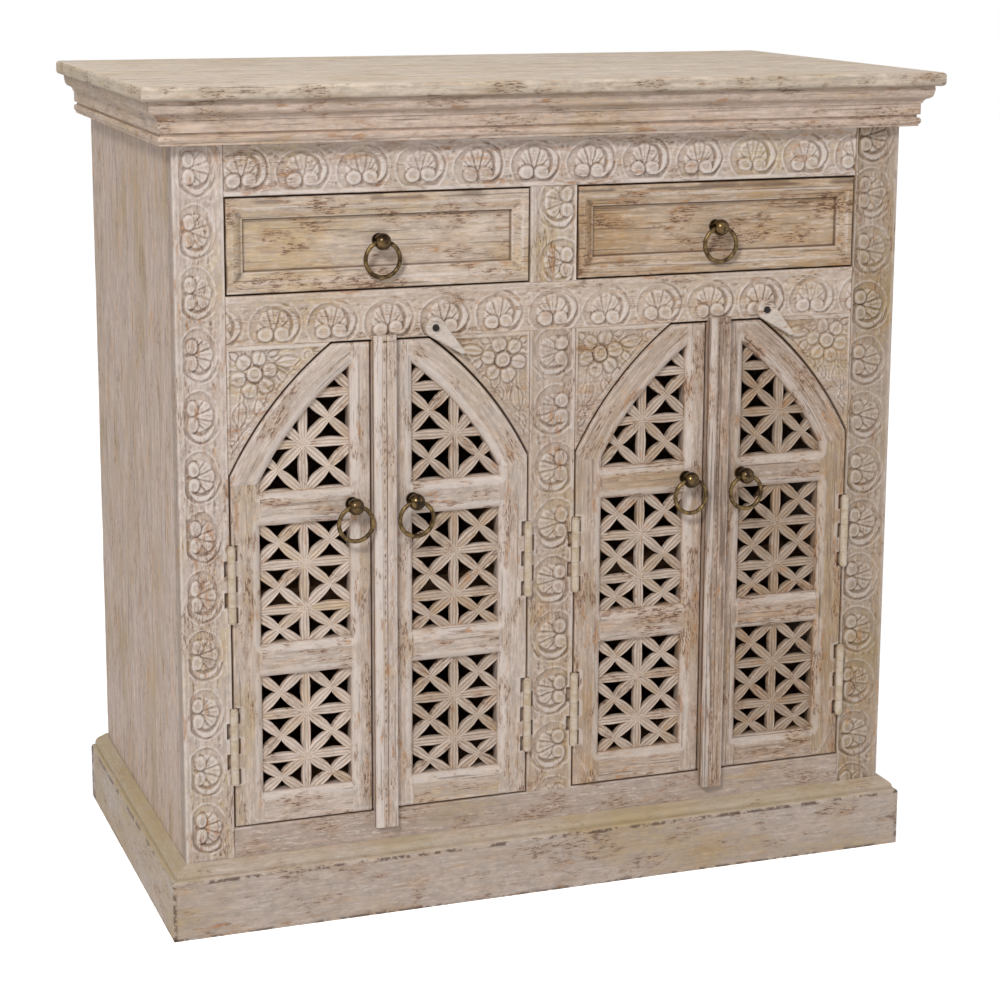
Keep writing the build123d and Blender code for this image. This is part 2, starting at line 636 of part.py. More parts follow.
def spandrel():
    """Corner board over the shoulder of a door, drawn for the right-hand door."""
    spring = (OPENING_HALF, ARCH_SPRING)
    shoulder = (ARCH_FLAT_HALF, DOOR_OPENING_TOP)
    lines = [
        arch_arc(spring, shoulder, 0.0),
        Line(shoulder, (OPENING_HALF, DOOR_OPENING_TOP)),
        Line((OPENING_HALF, DOOR_OPENING_TOP), spring),
    ]
    return from_front(make_face(lines), FRONT, BEHIND_FRAME)


def latch_bores():
    """Pilot holes of the latch screws in the middle rail."""
    end = LATCH_SCREW_HEAD_BACK + LATCH_SCREW_LENGTH
    return [
        rod_y(side * PAIR_CENTRE + LATCH_OFFSET, LATCH_HEIGHT, LATCH_SCREW_RADIUS, FRONT, end)
        for side in (-1, 1)
    ]


def build_face_frame():
    pockets = hinge_room(-1) + hinge_room(1)
    left_stile = block(-HALF_WIDTH, -OPENING_FAR, FRONT, BEHIND_FRAME, BODY_LIFT, BODY_TOP) - pockets
    save("stile_left", left_stile)
    save("stile_right", mirrored(left_stile))
    save("top_rail", block(-OPENING_FAR, OPENING_FAR, FRONT, BEHIND_FRAME, DRAWER_HIGH, BODY_TOP))
    mid_rail = block(-OPENING_FAR, OPENING_FAR, FRONT, BEHIND_FRAME, DOOR_OPENING_TOP, DRAWER_LOW)
    save("mid_rail", mid_rail - latch_bores())
    bottom_rail = block(-OPENING_FAR, OPENING_FAR, FRONT, BEHIND_FRAME, BODY_LIFT, DOOR_OPENING_BOTTOM)
    save("bottom_rail", bottom_rail)
    near = OPENING_NEAR
    save("centre_stile_upper", block(-near, near, FRONT, BEHIND_FRAME, DRAWER_LOW, DRAWER_HIGH))
    lower = block(-near, near, FRONT, BEHIND_FRAME, DOOR_OPENING_BOTTOM, DOOR_OPENING_TOP)
    save("centre_stile_lower", lower - pockets)
    corner = spandrel()
    for name, side, centre in DOORS:
        save(f"spandrel_{name}", placed(corner, side, centre))


# ---- carcass ----
def build_carcass():
    side = block(HALF_WIDTH - BOARD, HALF_WIDTH, BEHIND_FRAME, BODY_BACK, BODY_LIFT, BODY_TOP)
    save("side_panel_right", side)
    save("side_panel_left", mirrored(side))
    inner = HALF_WIDTH - BOARD
    save("back_panel", block(-inner, inner, BACK_BOARD_FRONT, BODY_BACK, BODY_LIFT, BODY_TOP))
    board_low = BOTTOM_BOARD_TOP - BOTTOM_BOARD
    save("bottom_board", block(-inner, inner, BEHIND_FRAME, BACK_BOARD_FRONT, board_low, BOTTOM_BOARD_TOP))
    half = BOARD / 2
    partition = block(-half, half, BEHIND_FRAME, BACK_BOARD_FRONT, BOTTOM_BOARD_TOP, BODY_TOP)
    save("centre_partition", partition)
    deck_low = DECK_TOP - DECK_THICKNESS
    deck = block(half, inner, BEHIND_FRAME, BACK_BOARD_FRONT, deck_low, DECK_TOP)
    save("drawer_deck", [deck, mirrored(deck)])
    shelf_front = BEHIND_FRAME + SHELF_SETBACK
    shelf_top = SHELF_HEIGHT + SHELF_THICKNESS
    shelf = block(half, inner, shelf_front, BACK_BOARD_FRONT, SHELF_HEIGHT, shelf_top)
    save("shelf_right", shelf)
    save("shelf_left", mirrored(shelf))
    build_top()
    save("plinth", plinth())
    save("cornice", cornice())


def build_top():
    """Top board with a rounded nose along the front and the two sides."""
    reach = HALF_WIDTH + TOP_OVERHANG
    board = block(-reach, reach, FRONT - TOP_OVERHANG, BACK, BODY_TOP, BODY_TOP + TOP_THICKNESS)
    noses = board.edges().filter_by(Plane.XY).filter_by(lambda edge: edge.center().Y < BACK - 1)
    save("top_slab", fillet(noses, TOP_NOSE))


# ---- drawers ----
def drawer_front(centre):
    """Drawer front with a flat rim, a slope, a small step and a sunk field."""
    left, right = centre - OPENING_HALF + DRAWER_GAP, centre + OPENING_HALF - DRAWER_GAP
    low, high = DRAWER_LOW + DRAWER_GAP, DRAWER_HIGH - DRAWER_GAP
    board = block(left, right, FRONT, DRAWER_BOX_FRONT, low, high)
    rim_width, rim_height = right - left - 2 * DRAWER_RIM_SIDE, high - low - 2 * DRAWER_RIM_TOP
    middle = Pos(centre, (low + high) / 2)
    field = Rectangle(rim_width - 2 * DRAWER_BEVEL, rim_height - 2 * DRAWER_BEVEL)
    mouth = Plane.XZ.offset(-FRONT) * middle * Rectangle(rim_width, rim_height)
    slope_end = Plane.XZ.offset(-FRONT - DRAWER_BEVEL_DEPTH) * middle * field
    board -= loft([mouth, slope_end])
    board -= from_front(middle * field, FRONT, FRONT + DRAWER_RECESS)
    return board - knob_room(centre, (low + high) / 2, FRONT + DRAWER_RECESS, DRAWER_BOX_FRONT)


def drawer_box(centre):
    """Two sides and a back, grooved for the bottom."""
    left, right = centre - DRAWER_BOX_HALF, centre + DRAWER_BOX_HALF
    inner_left, inner_right = left + DRAWER_SIDE, right - DRAWER_SIDE
    low, high = DRAWER_BOX_LOW, DRAWER_BOX_HIGH
    bottom = drawer_bottom(centre)
    sides = [
        block(left, inner_left, DRAWER_BOX_FRONT, DRAWER_BOX_BACK, low, high),
        block(inner_right, right, DRAWER_BOX_FRONT, DRAWER_BOX_BACK, low, high),
        block(inner_left, inner_right, DRAWER_BOX_BACK - DRAWER_SIDE, DRAWER_BOX_BACK, low, high),
    ]
    return [side - bottom for side in sides]


def drawer_bottom(centre):
    reach = DRAWER_BOX_HALF - DRAWER_SIDE + DRAWER_GROOVE
    y_back = DRAWER_BOX_BACK - DRAWER_SIDE + DRAWER_GROOVE
    floor_top = DRAWER_FLOOR + DRAWER_BOTTOM
    return block(centre - reach, centre + reach, DRAWER_BOX_FRONT, y_back, DRAWER_FLOOR, floor_top)


def drawer_guides():
    """Four guides beside the drawer boxes, each with a lip over the drawer that stops it tipping."""
    wall, post = HALF_WIDTH - BOARD, BOARD / 2
    lip_low = DRAWER_BOX_HIGH + RUNNING_GAP
    lip_high = lip_low + KICKER_THICKNESS
    guides = []
    for edge, fixed, inward in ((OPENING_FAR, wall, -1), (OPENING_NEAR, post, 1)):
        guide = block(fixed, edge, BEHIND_FRAME, BACK_BOARD_FRONT, DECK_TOP, lip_low)
        lip_edge = edge + inward * KICKER_REACH
        guide += block(fixed, lip_edge, BEHIND_FRAME, BACK_BOARD_FRONT, lip_low, lip_high)
        guides += [guide, mirrored(guide)]
    return guides


def build_drawers():
    for name, side in (("left", -1), ("right", 1)):
        centre = side * PAIR_CENTRE
        save(f"drawer_front_{name}", drawer_front(centre))
        save(f"drawer_box_{name}", drawer_box(centre))
        save(f"drawer_bottom_{name}", drawer_bottom(centre))
        knob_z = (DRAWER_LOW + DRAWER_HIGH) / 2
        save(f"knob_drawer_{name}", knob(centre, knob_z, FRONT + DRAWER_RECESS, DRAWER_BOX_FRONT))
        save(f"ring_drawer_{name}", ring(centre, knob_z, FRONT + DRAWER_RECESS))
    save("drawer_guides", drawer_guides())


# name, +1 for the right-hand door of its pair, centre of the pair
DOORS = (
    ("outer_left", -1, -PAIR_CENTRE),
    ("inner_left", 1, -PAIR_CENTRE),
    ("inner_right", -1, PAIR_CENTRE),
    ("outer_right", 1, PAIR_CENTRE),
)


def build_doors():
    lattices = door_lattices()
    frames = {1: door_frame(-STRIP_LEFT), -1: door_frame(STRIP_LEFT + MEETING_GAP)}
    stile_leaves, pins = [], []
    for name, side, centre in DOORS:
        save(f"door_frame_{name}", [placed(piece, side, centre) for piece in frames[side]])
        save(f"door_lattice_{name}", [placed(piece, side, centre) for piece in lattices])
        leaves = []
        for height in HINGE_HEIGHTS:
            leaves.append(hinge_leaf(height, -1))
            leaves += [hinge_screw(screw, -1, 0.0) for screw in screw_heights(height)]
            own = [hinge_leaf(height, 1)]
            own += [hinge_screw(screw, 1, 0.0) for screw in screw_heights(height)]
            stile_leaves += [placed(piece, side, centre) for piece in own]
            pins.append(placed(hinge_pin(height), side, centre))
        save(f"hinge_leaves_{name}", [placed(piece, side, centre) for piece in leaves])
        knob_x = centre + side * DOOR_KNOB_OFFSET
        save(f"knob_door_{name}", knob(knob_x, DOOR_KNOB_HEIGHT, FRONT, DOOR_BACK))
        save(f"ring_door_{name}", ring(knob_x, DOOR_KNOB_HEIGHT, FRONT))
        if side > 0:
            save(f"meeting_strip_{name}", placed(meeting_strip(), side, centre))
    save("hinge_leaves_frame", stile_leaves)
    save("hinge_pins", pins)


def build_latches():
    screws = []
    for name, side in (("left", -1), ("right", 1)):
        at = Pos(side * PAIR_CENTRE + LATCH_OFFSET, 0, LATCH_HEIGHT)
        save(f"turn_latch_{name}", at * Rot(0, -LATCH_LEAN, 0) * turn_latch())
        screws += [at * piece for piece in latch_screw()]
    save("latch_screws", screws)


build_carcass()
build_face_frame()
build_drawers()
build_doors()
build_latches()
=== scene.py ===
"""Looks of the carved cupboard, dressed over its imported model.

Blender works in metres and the model's own frame, the front faces -Y. The carving and the boards
are worked out in millimetres and brought to metres when a point is placed.
"""
import math

import bmesh
import bpy
import numpy as np
from mathutils import Matrix, Vector

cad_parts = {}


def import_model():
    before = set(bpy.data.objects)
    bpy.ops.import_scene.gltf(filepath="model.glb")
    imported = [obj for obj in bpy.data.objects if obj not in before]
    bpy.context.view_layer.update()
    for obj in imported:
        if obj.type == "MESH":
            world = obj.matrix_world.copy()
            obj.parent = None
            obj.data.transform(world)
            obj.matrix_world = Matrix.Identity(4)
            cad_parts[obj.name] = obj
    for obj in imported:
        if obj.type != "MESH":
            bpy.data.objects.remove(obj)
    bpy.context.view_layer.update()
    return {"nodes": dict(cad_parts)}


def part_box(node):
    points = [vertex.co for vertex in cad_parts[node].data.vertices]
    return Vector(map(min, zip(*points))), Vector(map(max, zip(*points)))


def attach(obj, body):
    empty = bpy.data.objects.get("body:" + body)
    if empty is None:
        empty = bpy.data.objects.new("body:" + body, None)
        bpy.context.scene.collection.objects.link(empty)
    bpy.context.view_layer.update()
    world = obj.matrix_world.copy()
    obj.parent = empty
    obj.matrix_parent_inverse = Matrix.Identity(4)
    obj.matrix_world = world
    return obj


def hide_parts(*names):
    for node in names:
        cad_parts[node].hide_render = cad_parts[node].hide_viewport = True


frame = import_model()
MM = 0.001

# ---- sizes of the model that the pieces follow, in millimetres ----
FRONT = -205.5
BODY_HALF = 411.0
PAIR_CENTRE = 192.25
OPENING_HALF = 165.75
ARCH_CENTRE = (-181.2, 322.4)
ARCH_RADIUS = 387.5
ARCH_SPRING = 495.0
OPENING_TOP = 630.0
DOOR_LOW, DOOR_HIGH = 113.0, 627.5
DOOR_THICKNESS = 20.0
DOOR_HEAD_GAP = 2.5
DOOR_EDGE = 163.75
HEAD_RAIL = 32.0
PANEL_NEAR, PANEL_FAR = 34.5, 132.5
PANELS = ((146.0, 274.25), (309.75, 438.0))
HEAD_PANEL_LOW = 473.5
HEAD_JOINT = 484.3
PANEL_ROUND, PANEL_ROUND_DEPTH = 9.0, 6.4
LATTICE_FRONT, LATTICE_THICKNESS, LATTICE_GROOVE = 7.0, 8.0, 4.0
CELL_WIDTH, CELL_HEIGHT = 56.0, 48.95
HIDDEN_LOW = 7.25
HINGE_HEIGHTS = (202.0, 379.0)
HINGE_HALF = 41.9
HINGE_LINE = 164.75
HINGE_PROUD = 2.0
HINGE_ROOM = 4.6
KNUCKLES = 5
NOTCH, NOTCH_DEPTH = 7.4, 6.5
FREE_EDGE = {1: -11.0, -1: 13.2}
PLINTH_ARRIS = 62.0
DOORS = (
    # name, side of its pair, centre of its pair
    ("outer_left", -1, -PAIR_CENTRE),
    ("inner_left", 1, -PAIR_CENTRE),
    ("inner_right", -1, PAIR_CENTRE),
    ("outer_right", 1, PAIR_CENTRE),
)


def node_box(node):
    """Lowest and highest corner of a node of the model, in millimetres."""
    low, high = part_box(node)
    return np.array(low) / MM, np.array(high) / MM


# ---- shader writing ----
class Signal:
    """A value inside a material. Its operators add Math nodes."""

    def __init__(self, finish, socket):
        self.finish = finish
        self.socket = socket

    def math(self, operation, *values):
        return self.finish.node("ShaderNodeMath", {"operation": operation}, dict(enumerate(values)))

    def __abs__(self):
        return self.math("ABSOLUTE", self)

    def __add__(self, other):
        return self.math("ADD", self, other)

    def __sub__(self, other):
        return self.math("SUBTRACT", self, other)

    def __rsub__(self, other):
        return self.math("SUBTRACT", other, self)

    def __mul__(self, other):
        return self.math("MULTIPLY", self, other)

    __radd__ = __add__
    __rmul__ = __mul__

    def over(self, low, high):
        """0 below low, 1 above high, and a soft step between."""
        settings = {"interpolation_type": "SMOOTHSTEP"}
        inputs = {"Value": self, "From Min": low, "From Max": high}
        return self.finish.node("ShaderNodeMapRange", settings, inputs)


class Finish:
    """The nodes of one material, or of the world."""

    def __init__(self, owner, shader, **constants):
        owner.use_nodes = True
        self.owner = owner
        self.tree = owner.node_tree
        self.shader = self.tree.nodes[shader]
        for socket, value in constants.items():
            self.shader.inputs[socket.replace("_", " ")].default_value = value

    def node(self, kind, settings, inputs, output=0):
        """Adds a node: its settings first, then the values or links of its sockets."""
        made = self.tree.nodes.new(kind)
        for setting, value in settings.items():
            setattr(made, setting, value)
        for socket, value in inputs.items():
            self.feed(made.inputs[socket], value)
        return Signal(self, made.outputs[output])

    def feed(self, socket, value):
        if isinstance(value, Signal):
            self.tree.links.new(value.socket, socket)
        else:
            socket.default_value = value

    def wear(self, socket, value):
        """Joins a value to a socket of the main shader."""
        self.feed(self.shader.inputs[socket], value)

    def place(self):
        return self.node("ShaderNodeTexCoord", {}, {}, "Object")

    def facing(self):
        """The way that a face looks, without its smoothing."""
        return self.node("ShaderNodeNewGeometry", {}, {}, "True Normal")

    def axis(self, vector, letter):
        return self.node("ShaderNodeSeparateXYZ", {}, {0: vector}, letter)

    def mix(self, share, first, second):
        """Between two colours, or two places."""
        return self.node("ShaderNodeMix", {"data_type": "RGBA"}, {0: share, 6: first, 7: second}, 2)

    def shade(self, colour, amount):
        settings = {"operation": "SCALE"}
        return self.node("ShaderNodeVectorMath", settings, {0: colour, "Scale": amount})

    def noise(self, place, stretch, detail, roughness=0.5):
        """Noise whose waves are 1 / stretch metres long on each axis."""
        spread = self.node("ShaderNodeMapping", {}, {"Vector": place, "Scale": stretch})
        inputs = {"Vector": spread, "Scale": 1.0, "Detail": detail, "Roughness": roughness}
        return self.node("ShaderNodeTexNoise", {}, inputs, "Fac")

    def bump(self, height, distance, strength):
        inputs = {"Height": height, "Distance": distance, "Strength": strength}
        self.wear("Normal", self.node("ShaderNodeBump", {}, inputs))


def colour(red, green, blue):
    """A colour given as it looks on a screen, 0 to 255, in Blender's own values."""
    parts = [part / 255 for part in (red, green, blue)]
    return tuple(p / 12.92 if p < 0.04 else ((p + 0.055) / 1.055) ** 2.4 for p in parts) + (1.0,)


# the first two: whiter paint that also serves as painted highlight, and grime that also serves as
# painted shade
WHITE_PAINT_AND_HIGHLIGHT = colour(232, 220, 212)
GRIME_AND_SHADE = colour(78, 54, 38)
BROWN = colour(104, 66, 42)
ORANGE = colour(192, 134, 78)
STAIN = colour(190, 150, 108)
LEDGE = colour(178, 158, 114)

MITRE = (BODY_HALF + FRONT) * MM
MITRE_SOFT = 0.0004


def along_grain(look, mitred):
    """Place on a part of the model, its grain on the first axis, and 1 on the faces at its sides.

    A mitred moulding turns at its corners; a board has its end grain there.
    """
    place = look.place()
    if mitred:
        side = abs(look.axis(place, "X")) - abs(look.axis(place, "Y")) - MITRE
        side = side.over(-MITRE_SOFT, MITRE_SOFT)
    else:
        side = abs(look.axis(look.facing(), "X")).over(0.5, 0.6)
    turned = look.node("ShaderNodeMapping", {}, {"Vector": place, "Rotation": (0, 0, math.pi / 2)})
    return look.mix(side, place, turned), side


def worn_edges(look, wood, half_width, half_depth, arris):
    """Dark chips on the corners and arrises of a skirting board, and ochre on the ledge over it."""
    place = look.place()
    across, forward = abs(look.axis(place, "X")), abs(look.axis(place, "Y"))
    height = look.axis(place, "Z")
    corner = across.over(half_width - 0.005, half_width - 0.0015)
    corner = corner * forward.over(half_depth - 0.005, half_depth - 0.0015)
    upper = height.over(arris - 0.0028, arris - 0.0008)
    upper = upper * (1 - height.over(arris + 0.001, arris + 0.003))
    lower = 1 - height.over(0.001, 0.004)
    chipped = look.noise(place, (60, 60, 90), 4.0, 0.7).over(0.48, 0.56)
    cloud = look.noise(place, (9, 9, 9), 4.0, 0.6).over(0.4, 0.6)
    wood = look.mix(height.over(arris, arris + 0.004) * (0.2 + cloud * 0.35), wood, LEDGE)
    return look.mix((corner + upper + lower) * chipped * 0.8, wood, GRIME_AND_SHADE)


def painted_wood(
    name, paint, ochre, own_grain=True, mitred=False, warmth=0.5, bare=0.5, dashes=0.5, dirt=0.3,
    white_and_highlight=0.5, fibres=1.0, stain=0.4, splits=0.0, upright=0.88, edges=None,
):
    """Whitewash over old wood, rubbed through to orange and brown wood in streaks along the grain.

    Pieces carry their own grain and relief. The shares: warmth is ochre clouds, bare is rubbed
    patches, dashes is specks, dirt lays grime and painted shade in the hollows, white lays pale
    brush strokes and painted highlights on ridges, stain is soaked patches, splits is cracks.
    upright is the tone of upright faces on parts of the model, a painted shade that darkens
    their side faces a little more.
    """
    look = Finish(bpy.data.materials.new(name), "Principled BSDF")
    if own_grain:
        place = look.node("ShaderNodeAttribute", {"attribute_name": "grain"}, {}, "Vector")
        relief = look.node("ShaderNodeAttribute", {"attribute_name": "relief"}, {}, "Fac")
    else:
        place, side = along_grain(look, mitred)
        level = look.axis(look.facing(), "Z")
    cloud = look.noise(place, (6, 12, 12), 4.0, 0.6)
    cluster = look.noise(place, (13, 30, 30), 4.0, 0.6)
    fibre = look.noise(place, (15, 240, 240), 3.0, 0.6)
    brush = look.noise(place, (48, 440, 440), 3.0, 0.6)
    mottle = look.noise(place, (85, 150, 150), 4.0, 0.7)
    patch = look.noise(place, (30, 120, 120), 5.0, 0.7)
    fleck = look.noise(place, (170, 480, 480), 2.0, 0.6)
    speck = look.noise(place, (120, 600, 600), 3.0, 0.7)
    spread = look.noise(place, (17, 42, 42), 5.0, 0.65).over(0.5, 0.62)

    # ochre clouds, soaked stains and fibres
    edge = 0.62 - 0.3 * warmth
    warm = cloud * 0.7 + mottle * 0.3
    # side faces lean to the ochre: painted shade
    if not own_grain:
        warm = warm + side * 0.1
    wood = look.mix(warm.over(edge, edge + 0.22), colour(*paint), colour(*ochre))
    soak = look.noise(place, (15, 66, 66), 4.0, 0.6).over(0.54, 0.68)
    wood = look.mix(soak * stain, wood, STAIN)
    tone = 0.22 * fibre.over(0.34, 0.66) * fibres + 0.2 * brush.over(0.34, 0.66) * fibres
    tone = tone + 0.26 * mottle.over(0.3, 0.7) + (0.87 - 0.21 * fibres)
    wood = look.shade(wood, tone)

    # pale brush strokes, painted highlights on the ridges, and grime and painted shade in the
    # hollows
    streak = (brush * 0.6 + fleck * 0.4).over(0.53, 0.62)
    wood = look.mix(streak * white_and_highlight * (1 - cloud.over(0.42, 0.66) * 0.6), wood, WHITE_PAINT_AND_HIGHLIGHT)
    worn = patch * 0.75 + brush * 0.25
    if own_grain:
        # raised places get a painted highlight in whiter paint, and a little more wear
        ridge_highlight_and_wear = relief + mottle * 0.5 - 0.25
        wood = look.mix(ridge_highlight_and_wear.over(0.05, 0.55) * white_and_highlight, wood, WHITE_PAINT_AND_HIGHLIGHT)
        # hollows get grime and painted shade
        hollow_grime_and_shade = (mottle * 0.5 - 0.25 - relief).over(0.2, 1.1)
        wood = look.mix(hollow_grime_and_shade * dirt, wood, GRIME_AND_SHADE)
        worn = worn + ridge_highlight_and_wear.over(0.0, 0.6) * 0.03

    # rubbed patches, specks and cracks
    limit = 0.60 - 0.08 * bare
    rubbed = worn.over(limit - 0.01, limit + 0.07) * cluster.over(0.47, 0.6)
    under = look.mix((fibre * 0.5 + fleck * 0.5).over(0.45, 0.6), ORANGE, BROWN)
    wood = look.mix(rubbed * 0.7, wood, under)
    limit = 0.57 - 0.06 * dashes
    dash = speck.over(limit, limit + 0.05) * spread
    if not own_grain:
        dash = dash * (1 - level.over(0.8, 0.95) * 0.8)
    wood = look.mix(spread * 0.3 * dashes, wood, STAIN)
    wood = look.mix(dash * (0.45 + 0.4 * dashes), wood, BROWN)
    limit = 0.655 - 0.1 * splits
    crack = look.noise(place, (9, 420, 420), 2.0).over(limit, limit + 0.05)
    wood = look.mix(crack * 0.55 * fibres, wood, GRIME_AND_SHADE)

    # painted shade: upright faces darker than level ones, side faces darker still
    if not own_grain:
        wood = look.shade(wood, upright + level * (1 - upright) - side * 0.05)
    if edges:
        wood = worn_edges(look, wood, *edges)
    look.wear("Base Color", wood)
    look.wear("Roughness", 0.5 + brush * 0.2 + rubbed * 0.1)
    height = (fibre * 0.5 + brush * 0.4 - crack) * fibres
    look.bump(height + mottle * 0.5 - rubbed * 0.4 - dash * 0.5, 0.0006, 0.55)
    return look.owner


def metal(name, base, patina, metallic, roughness):
    """Metal with a patina that lies in clouds over it."""
    look = Finish(bpy.data.materials.new(name), "Principled BSDF", Metallic=metallic)
    place = look.place()
    cloud = look.noise(place, (120, 120, 120), 4.0, 0.6)
    fine = look.noise(place, (900, 900, 900), 3.0, 0.6)
    worn = (cloud * 0.7 + fine * 0.3).over(0.38, 0.62)
    look.wear("Base Color", look.mix(worn, colour(*base), colour(*patina)))
    look.wear("Roughness", cloud * 0.25 + fine * 0.1 + (roughness - 0.17))
    look.bump(cloud * 0.6 + fine * 0.4, 0.0003, 0.5)
    return look.owner


SHARES = ("warmth", "bare", "dashes", "white_and_highlight", "fibres", "splits", "dirt")
# pieces further right have darker washes: partly their own tone and wear, partly painted shade for
# the dimmer light on the right
WASHES = (
    # name, colours of the paint and of the ochre, then the numbers that SHARES names
    ("pale", (202, 184, 172), (194, 174, 136), 0.45, 0.85, 0.6, 0.7, 0.4, 0.0, 0.42),
    ("middle", (190, 170, 155), (184, 158, 122), 0.55, 0.5, 0.6, 0.5, 0.4, 0.0, 0.42),
    ("right", (176, 157, 140), (162, 138, 102), 0.6, 0.5, 0.6, 0.35, 0.4, 0.0, 0.42),
    ("rail", (204, 184, 168), (196, 170, 134), 0.45, 0.5, 0.5, 0.6, 0.4, 0.0, 0.45),
    ("base", (184, 165, 152), (174, 152, 124), 0.45, 0.35, 0.7, 0.5, 0.5, 0.0, 0.3),
    ("strip", (208, 190, 178), (192, 166, 134), 0.45, 0.6, 0.6, 0.7, 0.8, 0.25, 0.9),
    ("worn_shaded_strip", (180, 156, 138), (160, 128, 96), 0.6, 0.7, 0.7, 0.5, 1.0, 1.1, 0.9),
    ("door", (203, 185, 172), (188, 164, 132), 0.45, 0.6, 0.9, 0.5, 0.9, 0.05, 0.3),
    ("middle_door", (194, 173, 157), (178, 150, 118), 0.55, 0.8, 1.0, 0.45, 0.9, 0.25, 0.3),
    ("worn_shaded_door", (184, 162, 145), (168, 141, 108), 0.6, 0.75, 1.05, 0.4, 1.0, 0.4, 0.3),
    ("lattice", (224, 205, 190), (206, 180, 148), 0.5, 0.45, 0.5, 0.7, 0.7, 0.0, 0.75),
    ("middle_lattice", (204, 184, 167), (184, 157, 127), 0.5, 0.55, 0.6, 0.55, 0.7, 0.0, 0.8),
    ("worn_shaded_lattice", (180, 158, 138), (162, 134, 104), 0.55, 0.5, 0.6, 0.35, 0.7, 0.0, 0.85),
    ("drawer", (206, 186, 168), (194, 168, 130), 0.55, 0.6, 0.95, 0.5, 0.9, 0.3, 0.6),
    ("worn_shaded_drawer", (196, 172, 148), (178, 144, 104), 0.65, 0.8, 1.15, 0.45, 1.0, 0.5, 0.7),
)
WASH = {
    name: painted_wood(f"{name}_whitewash", paint, ochre, **dict(zip(SHARES, shares)))
    for name, paint, ochre, *shares in WASHES
}
SIDE_WASH = painted_wood(
    "side_whitewash", (194, 171, 156), (174, 148, 111), dashes=0.6, white_and_highlight=0.45, stain=0.8,
    splits=0.2,
)
# in these finishes upright sets the painted shade of upright faces
MOULDING_WASH = painted_wood(
    "moulding_whitewash", (219, 195, 177), (202, 173, 138), own_grain=False, mitred=True,
    bare=0.75, dashes=0.6,
)
plinth_low, plinth_high = node_box("plinth")
PLINTH_WASH = painted_wood(
    "plinth_whitewash", (201, 183, 170), (190, 165, 130), own_grain=False, mitred=True,
    warmth=0.45, bare=0.35, dashes=0.7, fibres=0.35, upright=0.87,
    edges=(plinth_high[0] * MM, -plinth_low[1] * MM, PLINTH_ARRIS * MM),
)
LATCH_WASH = painted_wood(
    "latch_whitewash", (222, 207, 195), (200, 178, 152), own_grain=False, warmth=0.4, bare=0.6,
    dashes=0.9, white_and_highlight=0.7, fibres=0.5, upright=0.94,
)
TOP_WASH = painted_wood(
    "top_whitewash", (234, 215, 194), (222, 198, 164), own_grain=False, bare=0.55, dashes=0.8,
    white_and_highlight=0.4, upright=0.76,
)
INSIDE = painted_wood(
    "inside_bare_wood", (128, 92, 64), (140, 102, 68), own_grain=False, bare=0.3, dashes=0.4,
    white_and_highlight=0.05,
)
KNOB_BRASS = metal("dark_knob_brass", (112, 90, 58), (40, 30, 22), 0.9, 0.26)
RING_BRASS = metal("antique_ring_brass", (124, 102, 66), (52, 38, 24), 0.88, 0.36)
HINGE_PAINT = metal("cream_painted_steel", (216, 201, 184), (196, 174, 144), 0.0, 0.6)
SCREW = metal("dark_screw_steel", (34, 26, 20), (14, 10, 8), 0.4, 0.6)


# ---- forms of a carved face, in millimetres ----
def ripple(a, b, size, seed):
    """Smooth random waves between -1 and 1, about size millimetres long."""
    count = 97
    table = np.random.default_rng(seed).uniform(-1, 1, (count, count))
    i, j = np.floor(a / size).astype(int), np.floor(b / size).astype(int)
    p, q = a / size - i, b / size - j
    p, q = p * p * (3 - 2 * p), q * q * (3 - 2 * q)
    near, far = i % count, (i + 1) % count
    low, high = j % count, (j + 1) % count
    bottom = table[near, low] * (1 - p) + table[far, low] * p
    top = table[near, high] * (1 - p) + table[far, high] * p
    return bottom * (1 - q) + top * q


def waves(a, b, seed, *layers):
    """Ripples added up, each given by its height and its size; their seeds follow one another."""
    return sum(high * ripple(a, b, size, seed + k) for k, (high, size) in enumerate(layers))


def rise(distance, width):
    """Soft step from 0 to 1 as a distance passes through 0."""
    t = np.clip(distance / width + 0.5, 0, 1)
    return t * t * (3 - 2 * t)


def bell(distance, half):
    """1 where the distance is 0, fading on both sides."""
    return np.exp(-((distance / half) ** 2))


def domed(depth, inside, low, high, half):
    """Raises a rounded form: low at its edge, high from half millimetres inside it."""
    share = np.clip(inside / half, 0, 1)
    form = low + (high - low) * share * (2 - share)
    return depth + (form - depth) * rise(inside, 1.0)


def grooved(depth, distance, cut, half):
    """Cuts a soft groove where the distance is 0; a cut below 0 raises a ridge."""
    return depth - cut * bell(distance, half)


def least(*distances):
    return np.minimum.reduce(distances)


def soft_edges(s, t, low, high, radius=1.3):
    """Rounds the four edges of a board."""
    gap = np.clip(least(s - low[0], high[0] - s, t - low[1], high[1] - t), 0, radius)
    return np.sqrt(radius**2 - (radius - gap) ** 2) - radius


def plain_face(seed, layers, lowered, low, high, radius=1.3):
    """Depth of a flat board with a little wear and round edges."""
    def depth(s, t):
        return waves(s, t, seed, *layers) - lowered + soft_edges(s, t, low, high, radius)
    return depth


def blurred(field, cells):
    """Mean over a square of cells."""
    for axis in (0, 1):
        pad = [(0, 0), (0, 0)]
        pad[axis] = (cells + 1, cells)
        total = np.cumsum(np.pad(field, pad, mode="edge"), axis=axis)
        count = field.shape[axis]
        upper = np.take(total, np.arange(2 * cells + 1, 2 * cells + 1 + count), axis=axis)
        lower = np.take(total, np.arange(0, count), axis=axis)
        field = (upper - lower) / (2 * cells + 1)
    return field


def even(low, high, step):
    return np.linspace(low, high, max(2, math.ceil((high - low) / step) + 1))


ROUNDING = np.array([0, 0.35, 0.9, 1.7, 2.8, 4.3, 6.4, 9.2, 11.2])


